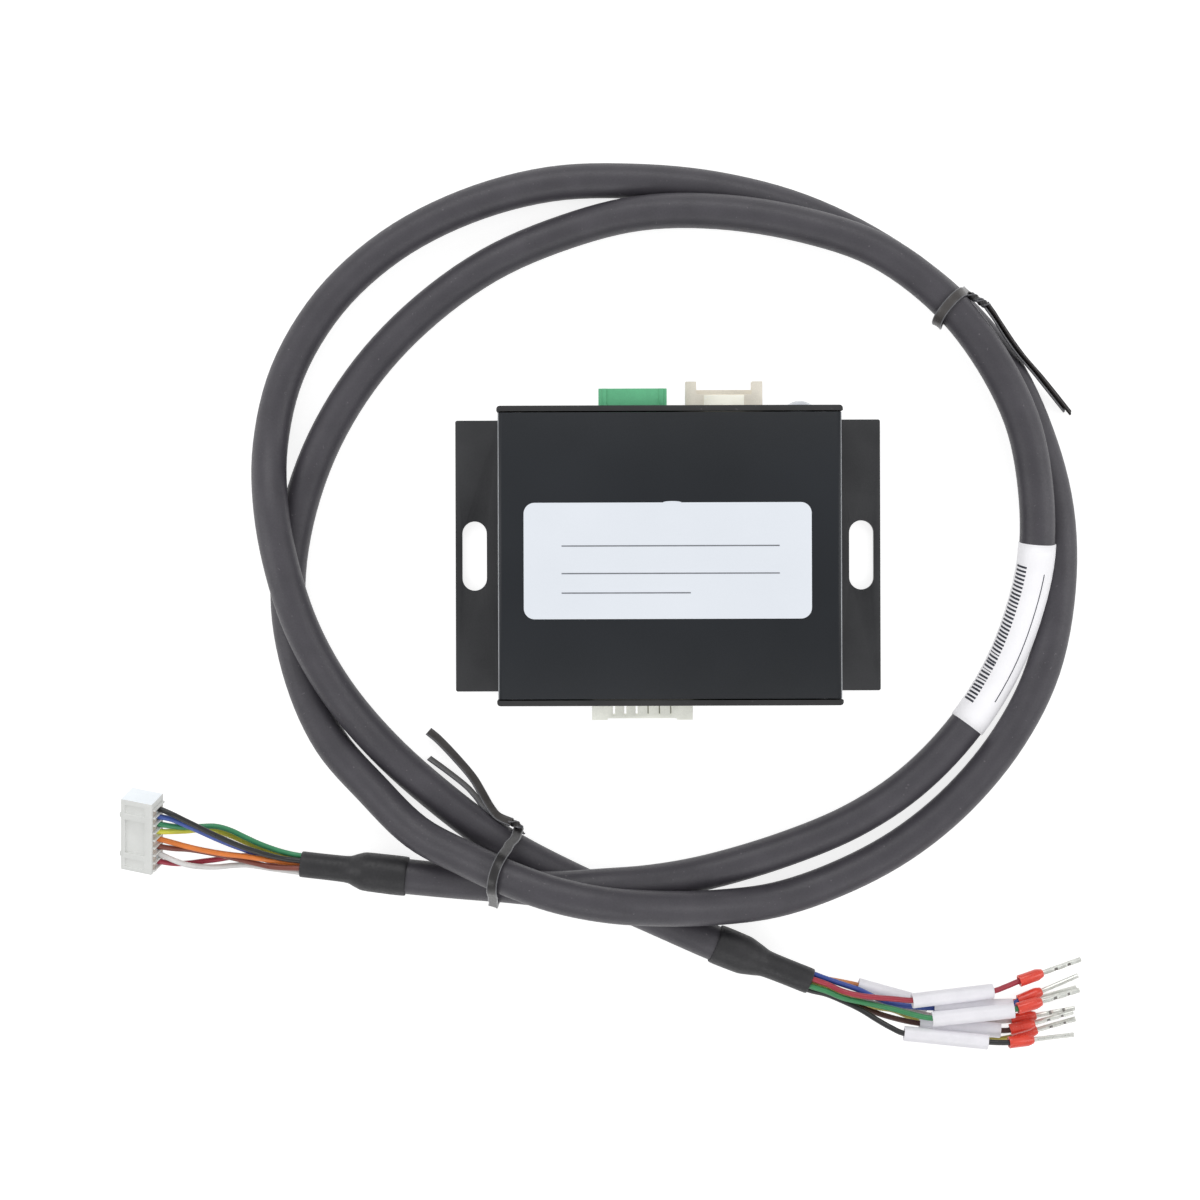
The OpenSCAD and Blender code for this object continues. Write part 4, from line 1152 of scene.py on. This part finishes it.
def lay_core(end: str, colour: str, tint: Point, points: Sequence[Sequence[float]],
             core: float) -> None:
    """Args:
        end: the end of the cable that it is on, plug or lead.
        colour: the word for its colour.
        tint: its colour, linear red, green and blue.
        points: its route, in millimetres.
        core: its diameter, in millimetres.
    """
    route = smooth_route(points, ROUTE_STEPS, core / 2)
    piece = cord_curve(f"{end}_wire_{colour}", route, core, 3)
    finish = plastic(f"{end}_insulation_{colour}", tint, rough=(0.26, 0.40), grain=0.5,
                     depth=0.008, drift=3, coat=0.1)
    dress(piece, Body.CABLE, finish, f"{end}_core_{colour}")


@dataclass
class PlugEnd:
    """The eight way plug with its cores."""

    centre: Point = (-93.9, -49, 5.3)
    turn: Point = (24, -15, -10)
    pitch: float = 1.5
    ways: int = 8
    core: float = 1.0
    face: float = 3.0
    seats: Pair = (1.4, 3.2)
    # how squarely a face has to look towards the end, and its least area, to take the painted light
    # of the end face
    end_turn: float = 0.9
    end_area: float = 4
    rib: float = 0.3
    rib_proud: float = 0.5
    hollow_proud: float = 0.06
    hollow_drop: float = 0.15
    rib_z: Point = (-1.7, 2.45, 0.85)

    def frame(self) -> Matrix:
        """Returns the plug's place, in millimetres."""
        spin = Matrix.Identity(3)
        for angle, axis in zip(self.turn, "XYZ"):
            spin = Matrix.Rotation(math.radians(angle), 3, axis) @ spin
        return Matrix.Translation(self.centre) @ spin.to_4x4()

    def build(self, frame: dict, cable: SignalCable) -> None:
        """Makes the plug, its contacts and the eight cores behind it.

        Args:
            cable: the cable whose boot takes the cores.
        """
        inside = self.frame()

        def brighten(bm: bmesh.types.BMesh) -> None:
            """Marks the housing's upper end face for its painted light."""
            out = (inside.to_3x3() @ Vector((0, 1, 0))).normalized()
            least = self.end_area * MM * MM
            for face in bm.faces:
                if face.normal.dot(out) > self.end_turn and face.calc_area() > least:
                    face.material_index = 1

        housing = softened(frame, "plug_housing", Body.CABLE, PLUG, 0.18, 2, shape=brighten)
        # the second finish paints light on the housing's upper end face
        housing.data.materials.append(PLUG_END_LIT.material())
        coat(frame, TIN, "plug_contacts")
        self.wire_side(inside)
        for way, (colour, seat, tint, places) in enumerate(PLUG_CORES):
            y = ((self.ways - 1) / 2 - way) * self.pitch
            start = [inside @ Vector((x, y, 0)) for x in self.seats]
            points = [(x, *place) for x, place in zip(PLUG_STATIONS, places)]
            run = bundle_run(cable.plug_axis, seat, cable.plug_grip)
            lay_core("plug", colour, tint, [*start, *points, *reversed(run)], self.core)

    def wire_side(self, inside: Matrix) -> None:
        """Makes the ribs between the cores on the wire side, and darker sheets that paint the shade
        in the hollows between the ribs.

        Args:
            inside: the plug's place, in millimetres.
        """
        place = Matrix.Scale(MM, 4) @ inside
        low, high, wall = self.rib_z
        for name, finish, offset, width, proud, top in (
                ("plug_ribs", PLUG, 0.5, self.rib, self.rib_proud, high),
                ("plug_shade_sheets", HOLLOW_SHADE, 0.0, self.pitch - self.rib, self.hollow_proud,
                 high - self.hollow_drop)):
            # a rib runs the whole height, a hollow's sheet of painted shade stops short of its core
            # above and below
            spans = ((low, top),) if offset else ((wall, top), (low, -wall))
            bm = bmesh.new()
            for way in range(self.ways + (1 if offset else 0)):
                y = ((self.ways - 1) / 2 - way + offset) * self.pitch
                for bottom, crown in spans:
                    bar(bm, (proud, width, crown - bottom),
                        (self.face + proud / 2, y, (crown + bottom) / 2))
            bmesh.ops.transform(bm, matrix=place, verts=bm.verts)
            piece = place_mesh(name, bm, smooth=False)
            finish_edges(piece, 0.03, 1)
            dress(piece, Body.CABLE, finish)


# where every plug core is given, along X; each core below has its Y and Z there
PLUG_STATIONS = (-88.5, -86, -83.5, -81, -78.5, -76, -73.5, -71, -68.5)
PLUG_CORES = (
    ("black", 2, (0.022, 0.024, 0.025), (
        (-45.5, 8.7), (-46.8, 8.2), (-48.1, 7.6), (-49.4, 7), (-50.6, 6.5), (-51.7, 6),
        (-52.6, 5.5), (-53.4, 5), (-54, 4.4))),
    ("blue", 6, (0.07, 0.135, 0.5), (
        (-46.6, 7.4), (-47.7, 6.9), (-48.9, 6.2), (-50.1, 5.7), (-51.2, 5.2), (-52.2, 4.6),
        (-53.2, 3.6), (-54.1, 2.6), (-54.8, 1.6))),
    ("green", 1, (0.045, 0.3, 0.13), (
        (-47.9, 6.5), (-48.2, 5.5), (-48.1, 4.9), (-48.1, 4.5), (-48.8, 4.2), (-50, 4),
        (-51.2, 3.8), (-52.2, 3.5), (-53, 3.2))),
    ("yellow", 7, (0.8, 0.78, 0.08), (
        (-48.9, 5.6), (-48.9, 4.3), (-48.7, 3.6), (-49, 3.1), (-49.9, 2.9), (-51, 2.7),
        (-52, 2.5), (-52.9, 2.2), (-53.6, 1.9))),
    ("orange", 0, (0.86, 0.23, 0.035), (
        (-50.9, 5.7), (-51.6, 5.6), (-52.2, 5.5), (-52.7, 5.3), (-53.1, 5.1), (-53.4, 5),
        (-53.8, 4.8), (-54.3, 3.8), (-54.8, 3))),
    ("brown", 3, (0.23, 0.062, 0.042), (
        (-52, 4.8), (-52.2, 4.3), (-52.6, 4.1), (-53.1, 3.9), (-53.7, 3.8), (-54.3, 3.8),
        (-54.9, 3.9), (-55.4, 4.2), (-55.6, 4.1))),
    ("white", 4, (0.78, 0.77, 0.76), (
        (-54.1, 4.7), (-55, 4.3), (-55.4, 3.6), (-55.5, 3), (-55.3, 2.6), (-55.2, 2.4),
        (-55.5, 2.3), (-55.9, 2.5), (-56.2, 2.8))),
    ("red", 5, (0.4, 0.03, 0.06), (
        (-54.8, 3.4), (-54.8, 2.9), (-54.5, 2.6), (-54.2, 2.4), (-53.8, 2.2), (-53.6, 1.9),
        (-54, 1.4), (-54.9, 1.2), (-56, 1.4))),
)

LEAD_CORES = (
    ("blue", 1, (0.04, 0.085, 0.38), (
        (28, -75.8, 3.2), (31, -76.8, 3.5), (34, -77.8, 3.9), (36.7, -79.1, 3.9),
        (39.4, -80.1, 3.9), (42, -80.6, 3.9), (47.2, -81, 3.8), (54, -80.9, 3.55),
        (60.8, -80.75, 3.3))),
    ("red", 2, (0.42, 0.035, 0.06), (
        (28, -76.6, 4.4), (31, -77.9, 4.9), (34, -78.6, 5.3), (37, -78.9, 5.7),
        (40, -79.1, 6.2), (43.1, -79.3, 6.6), (50.4, -78.65, 5.85), (57.7, -77.9, 5.1),
        (60, -77.2, 4.4))),
    ("green", 3, (0.045, 0.27, 0.10), (
        (28, -77.9, 4.2), (31, -79.1, 4.5), (34, -79.8, 4.6), (37, -80.4, 5),
        (40, -81, 5.5), (43, -81.8, 6.1), (46.7, -82.5, 6.5), (54, -81.95, 6.5),
        (60.6, -81.2, 6.4))),
    ("black", 4, (0.024, 0.024, 0.025), (
        (28, -78.6, 2.9), (31, -79.8, 3.3), (34, -81.2, 3.8), (37, -83, 4.6),
        (39.4, -84.3, 5.4), (41.7, -85.3, 5.8), (49.2, -86.1, 5.8), (56.7, -86.9, 5.7))),
    ("brown", 5, (0.085, 0.03, 0.022), (
        (28, -78.7, 1.6), (31, -79.8, 1.9), (34, -80.8, 2.3), (37, -82, 2.6),
        (40, -82.9, 2.9), (44.7, -83.9, 3), (52, -84.55, 3), (59.2, -85.2, 3))),
    ("white", 6, (0.78, 0.74, 0.73), (
        (28, -77.5, 0.9), (31, -78.7, 0.7), (34, -79.8, 0.7), (37, -80.6, 0.7),
        (40, -81.2, 0.7), (43, -81.8, 0.7), (46.4, -82.7, 0.7), (50, -83, 0.7),
        (54, -83.4, 0.7), (58, -83.8, 0.8))),
    ("orange", 7, (0.72, 0.26, 0.08), (
        (28, -76, 1.6), (31, -76.6, 1.5), (33.8, -77.2, 1.5), (40.1, -78.97, 1.5),
        (46.4, -80.75, 1.5), (49, -81.1, 0.9), (53, -81.1, 0.7), (57.5, -81.2, 0.8))),
    ("yellow", 0, (0.62, 0.58, 0.12), (
        (28, -77.3, 2.7), (31, -78.6, 2.7), (34, -79.8, 3.1), (37, -80.9, 3.2),
        (40, -81.5, 2.6), (43, -82.9, 1.3), (46.4, -84.3, 0.7), (50, -85.2, 0.7),
        (54, -86.4, 0.7), (57.5, -87.2, 0.8))),
)


@dataclass
class LeadEnd:
    """The eight leads with their marker sleeves and ferrules."""

    core: float = 1.0
    collar: float = 2.15
    collar_length: float = 4.6
    collar_tip: float = 0.65
    hold: float = 2.5
    pin: float = 0.9
    crimps: int = 2
    crimp_start: float = 1.3
    crimp_pitch: float = 2.5
    # a crimp's half width as a share of the pitch, its depth, and where its shade starts
    crimp_half: float = 0.24
    crimp_depth: float = 0.45
    crease_from: float = 0.55
    # how square a pin becomes past its collar, where that starts and how long it takes
    square: float = 0.92
    square_lead: Pair = (0.4, 0.8)
    pin_rings: int = 60
    sleeve: float = 2.7
    sleeve_bore: float = 1.8
    rolls: dict[str, float] = field(default_factory=lambda: {
        "red": 40, "blue": 150, "green": 35, "orange": 120, "white": -25, "brown": 50,
        "yellow": 45, "black": 165,
    })
    ferrules: dict[str, tuple[Point, Point]] = field(default_factory=lambda: {
        "red": ((62.5, -76.3, 3.6), (73.8, -72.7, 1.4)),
        "blue": ((62.4, -79.9, 3.2), (73.2, -75.5, 2.3)),
        "green": ((61.9, -80.9, 6.2), (73.1, -77.8, 4.6)),
        "orange": ((61.9, -80.9, 1.12), (73.1, -77.8, 1.05)),
        "white": ((61.3, -83.6, 1.12), (72.8, -81.5, 1.05)),
        "brown": ((60.9, -85.1, 3.2), (72.2, -81.9, 3)),
        "yellow": ((61.6, -86.6, 1.12), (72.9, -83.4, 1.05)),
        "black": ((60.4, -87, 5.6), (72.2, -85.9, 3.6)),
    })
    sleeves: dict[str, tuple[Point, Point, Body]] = field(default_factory=lambda: {
        "red": ((43.1, -79.4, 6.6), (57.7, -77.9, 5.1), Body.RED_SLEEVE),
        "blue": ((47.2, -81, 3.8), (61.4, -80.8, 3.3), Body.CABLE),
        "green": ((46.7, -82.7, 6.5), (61.3, -81.2, 6.5), Body.CABLE),
        "brown": ((44.7, -83.9, 3), (59.2, -85.2, 3), Body.BROWN_SLEEVE),
        "orange": ((33.8, -77.2, 1.5), (46.4, -80.75, 1.5), Body.CABLE),
        "black": ((41.7, -85.3, 5.8), (56.7, -86.9, 5.8), Body.BLACK_SLEEVE),
    })

    def build(self, cable: SignalCable) -> None:
        """Makes the leads and what is on them.

        Args:
            cable: the cable whose boot the leads leave.
        """
        for colour, seat, tint, points in LEAD_CORES:
            ferrule = self.ferrules[colour]
            run = bundle_run(cable.lead_axis, seat, cable.lead_grip)
            ends = [along(ferrule, 0), along(ferrule, self.hold)]
            lay_core("lead", colour, tint, [*run, *points, *ends], self.core)
        for colour, (start, end, body) in self.sleeves.items():
            self.marker(colour, start, end, body)
        self.collars()
        self.pins()

    def marker(self, colour: str, start: Point, end: Point, body: Body) -> None:
        """Makes one slightly pinched marker sleeve.

        Args:
            colour: colour of the core that it is on.
            start: its end towards the boot.
            end: its end towards the ferrule.
            body: the body that it rides on.
        """
        far = (Vector(end) - Vector(start)).length
        outer, bore = self.sleeve / 2, self.sleeve_bore / 2
        profile = [(bore, 0.05), (outer - 0.06, 0.0), (outer, 0.08)]
        profile += [(outer, far * k / 6) for k in range(1, 6)]
        profile += [(outer, far - 0.08), (outer - 0.06, far), (bore, far - 0.05)]
        ripple = swelling(0.012, 300, 150, sum(ord(c) for c in colour))
        piece = spun(f"marker_{colour}", profile, axis_matrix(start, end), 32, ripple)
        dress(piece, body, SLEEVE, f"sleeve_{colour}")

    def collars(self) -> None:
        """Makes the eight flared collars."""
        outer, hole, tip = self.collar / 2, self.core / 2, self.collar_tip
        profile = [
            (hole + 0.3, 0.0), (outer - 0.02, 0.0), (outer + 0.02, 0.12), (outer, 0.5),
            (outer, self.collar_length - 1.15), (outer - 0.16, self.collar_length - 0.6),
            (tip + 0.1, self.collar_length - 0.12), (tip, self.collar_length),
            (self.pin / 2, self.collar_length), (self.pin / 2, self.hold),
            (hole, self.hold), (hole, 1.2),
        ]
        parts = [spun(f"collar_{c}", profile, axis_matrix(*ends), 24)
                 for c, ends in self.ferrules.items()]
        dress(joined("crimp_collars", parts), Body.CABLE, COLLAR, "ferrule_collars")

    def pins(self) -> None:
        """Makes the eight crimped pins."""
        parts = [self.crimped(f"pin_{c}", self.rolls[c], *ends)
                 for c, ends in self.ferrules.items()]
        piece = joined("crimp_pins", parts)
        dress(piece, Body.CABLE, PIN, "ferrule_pins")
        piece.data.materials.append(CREASE.material())

    def dent(self, at: float) -> float:
        """Returns how deep the crimp is, from 0 to 1, this far along a ferrule."""
        phase = (at - self.collar_length - self.crimp_start) / self.crimp_pitch
        if not 0 < phase < self.crimps:
            return 0.0
        return max(0.0, 1 - abs((phase % 1) - 0.5) / self.crimp_half)

    def crimped(self, name: str, roll: float, start: Point, end: Point) -> bpy.types.Object:
        """Makes one pin with the marks of the crimping tool along it.

        Args:
            name: name of the piece.
            roll: how far its marks are turned round its axis, in degrees.
            start: where the ferrule starts.
            end: the pin's tip.

        Returns:
            The pin.
        """
        far = (Vector(end) - Vector(start)).length
        stops = [self.hold + (far - self.hold) * k / self.pin_rings
                 for k in range(self.pin_rings + 1)]
        half = self.pin / 2
        lead, ramp = self.square_lead
        bm = bmesh.new()
        ring = bmesh.ops.create_circle(bm, cap_ends=True, segments=16, radius=half * MM)["verts"]
        bmesh.ops.translate(bm, verts=ring, vec=(0, 0, stops[0] * MM))
        edges = list(bm.edges)
        for low, high in zip(stops, stops[1:]):
            ring, edges = grown_ring(bm, edges)
            bmesh.ops.translate(bm, verts=ring, vec=(0, 0, (high - low) * MM))
        bmesh.ops.holes_fill(bm, edges=edges, sides=0)
        for vert in bm.verts:
            at = vert.co.z / MM
            press = min(1.0, max(0.0, (at - self.collar_length - lead) / ramp))
            spread = (abs(vert.co.x) ** 4 + abs(vert.co.y) ** 4) ** 0.25 / (half * MM)
            square = 1 + press * (self.square / max(spread, 0.1) - 1)
            vert.co.x *= square
            vert.co.y *= square
            if vert.co.y > 0.2 * half * MM:
                vert.co.y *= 1 - self.crimp_depth * self.dent(at)
        for face in bm.faces:
            middle = face.calc_center_median()
            if middle.y > 0.45 * half * MM and self.dent(middle.z / MM) > self.crease_from:
                face.material_index = 1
        turn = Matrix.Rotation(math.radians(roll), 4, "Z")
        bmesh.ops.transform(bm, matrix=axis_matrix(start, end) @ turn, verts=bm.verts)
        return place_mesh(name, bm)


# -------------------------------------------------------------- controller


@dataclass
class Controller:
    """The box with its sockets, lens, label and electronics."""

    label_size: Pair = (50.2, 20.3)
    label_centre: Pair = (-0.4, -0.9)
    label_corner: float = 1.9
    label_film: float = 0.13
    tab_size: Pair = (1.6, 0.24)
    tab_x: float = 0.8
    rules: tuple[Point, ...] = ((2.6, -18.5, 19.5), (-2.2, -18.5, 19.5), (-5.6, -18.5, 4))
    rule_size: Pair = (0.22, 0.03)
    rule_rise: float = 0.135
    top: float = 20.0
    side: float = 30.0
    end: float = 25.0
    gap: float = 0.24
    # how far in from the sides the lid's painted edge highlight reaches, and the round below the
    # top that it covers
    highlight_width: float = 0.22
    round: float = 0.8
    signal_x: float = 9.8
    pad_rise: float = 0.35
    pad_reach: float = 3.6
    # the slopes of the faces that take the painted edge highlight
    highlight_slope: Pair = (0.02, 0.85)
    gripper_pitch: float = 2.0
    window_y: float = 2.0
    # size, depth under the roof and places of the dark bars that paint the shade inside the
    # header's narrow windows
    shade_bar_size: Point = (0.3, 1.8, 0.1)
    shade_bar_depth: float = 0.9
    shade_bar_ways: Point = (0.5, 1.5, 2.5)

    def build(self, frame: dict) -> None:
        """Makes every piece of the box.
        """
        softened(frame, "lower_shell", Body.CONTROLLER, FLANGE, 0.12)
        lid = softened(frame, "upper_shell", Body.CONTROLLER, ANODISED, 0.10,
                       shape=self.mark_edge_highlight)
        # the lid's second finish paints a highlight on its rounded long edges
        lid.data.materials.append(EDGE_HIGHLIGHT.material())
        for node in ("power_end_panel", "gripper_end_panel"):
            softened(frame, node, Body.CONTROLLER, PANEL, 0.12, shape=self.seam)
        softened(frame, "panel_screws", Body.CONTROLLER, STEEL, 0.05, 1)
        softened(frame, "power_header", Body.CONTROLLER, GREEN_BODY, 0.12)
        pad = softened(frame, "io_header", Body.CONTROLLER, CREAM_BODY, 0.1)
        # the header's second finish paints light on its raised pad
        self.brighten_pad(pad)
        softened(frame, "gripper_header", Body.CONTROLLER, PALE_BODY, 0.06, 1)
        self.windows()
        coat(frame, TIN, "power_pins", "io_pins", "gripper_pins")
        coat(frame, LENS, "status_lens")
        coat(frame, LAMP, "status_led")
        coat(frame, BOARD, "circuit_board")
        coat(frame, CHIP, "microcontroller", "motor_drivers", "transceiver")
        coat(frame, FERRITE, "inductor")
        coat(frame, CAN, "capacitors")
        self.label()

    def mark_edge_highlight(self, bm: bmesh.types.BMesh) -> None:
        """Marks the lid's two rounded long edges for a painted highlight.

        Args:
            bm: the lid's merged mesh.
        """
        for face in bm.faces:
            middle = face.calc_center_median() / MM
            if abs(middle.x) > self.side - self.highlight_width and middle.z > self.top - self.round:
                if self.highlight_slope[0] < face.normal.z < self.highlight_slope[1]:
                    face.material_index = 1

    def seam(self, bm: bmesh.types.BMesh) -> None:
        """Draws a panel's inner face back from the shells, so that the seam shows.

        Args:
            bm: the panel's merged mesh.
        """
        for vert in bm.verts:
            if abs(abs(vert.co.y) - self.end * MM) < 0.01 * MM:
                vert.co.y += math.copysign(self.gap * MM, vert.co.y)

    def brighten_pad(self, header: bpy.types.Object) -> None:
        """Gives the raised pad on the header's roof a paler copy of its finish, with a stronger
        glow as painted light.

        Args:
            header: the rounded header.
        """
        header.data.materials.append(CREAM_PAD_BRIGHT.material())
        places = [v.co for v in header.data.vertices]
        top = max(place.z for place in places)
        for face in header.data.polygons:
            if all(places[v].z > top - self.pad_rise * MM
                   and abs(places[v].x - self.signal_x * MM) < self.pad_reach * MM
                   for v in face.vertices):
                face.material_index = 1

    def windows(self) -> None:
        """Makes dark bars under the header's three narrow windows, painted shade where the windows
        look into the header.
        """
        low, high = (Vector(corner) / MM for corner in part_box("gripper_header"))
        middle, roof = (low.x + high.x) / 2, high.z - self.shade_bar_depth
        bm = bmesh.new()
        for way in self.shade_bar_ways:
            at = (middle + way * self.gripper_pitch, -self.end - self.window_y, roof)
            bar(bm, metres(self.shade_bar_size), metres(at))
        shade_bars = place_mesh("window_shade_bars", bm, smooth=False)
        finish_edges(shade_bars, 0.02, 1)
        dress(shade_bars, Body.CONTROLLER, WINDOW_SHADE)

    def label(self) -> None:
        """Makes the blank label with a few plain ruled lines to write on."""
        w, h = self.label_size
        r = self.label_corner
        bm = bmesh.new()
        bmesh.ops.create_grid(bm, x_segments=1, y_segments=1, size=0.5)
        bmesh.ops.scale(bm, verts=bm.verts, vec=(w * MM, h * MM, 1))
        bmesh.ops.bevel(bm, geom=list(bm.verts), offset=r * MM, segments=10, affect="VERTICES",
                        profile=0.5, material=-1)
        tab = bmesh.ops.create_circle(bm, cap_ends=True, segments=32, radius=MM)["verts"]
        bmesh.ops.scale(bm, verts=tab, vec=(*self.tab_size, 1))
        bmesh.ops.translate(bm, verts=tab, vec=(self.tab_x * MM, h / 2 * MM, 0))
        shape = [*tab, *tab[0].link_faces, *(e for v in tab for e in v.link_edges)]
        bmesh.ops.bisect_plane(bm, geom=list(dict.fromkeys(shape)), plane_co=(0, h / 2 * MM, 0),
                               plane_no=(0, 1, 0), clear_inner=True)
        centre = Vector((*self.label_centre, self.top)) * MM
        bmesh.ops.translate(bm, verts=bm.verts, vec=centre)
        grown = bmesh.ops.extrude_face_region(bm, geom=list(bm.faces))["geom"]
        lifted = [g for g in grown if isinstance(g, bmesh.types.BMVert)]
        bmesh.ops.translate(bm, verts=lifted, vec=(0, 0, self.label_film * MM))
        film = place_mesh("blank_label", bm, smooth=False)
        finish_edges(film, 0.05, 2)
        dress(film, Body.CONTROLLER, LABEL, "top_label")
        ruled = bmesh.new()
        for y, left, right in self.rules:
            middle = (self.label_centre[0] + (left + right) / 2, self.label_centre[1] + y,
                      self.top + self.rule_rise)
            bar(ruled, metres((right - left, *self.rule_size)), metres(middle))
        lines = place_mesh("label_ruling", ruled, smooth=False)
        dress(lines, Body.CONTROLLER, RULE)


def main() -> None:
    """Builds the whole scene in order."""
    logging.basicConfig(level=logging.INFO, format="%(message)s")
    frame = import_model()
    studio = Studio()
    studio.camera()
    cable = SignalCable()
    cable.build()
    PlugEnd().build(frame, cable)
    LeadEnd().build(cable)
    Controller().build(frame)
    studio.build()


if __name__ == "__main__":
    main()
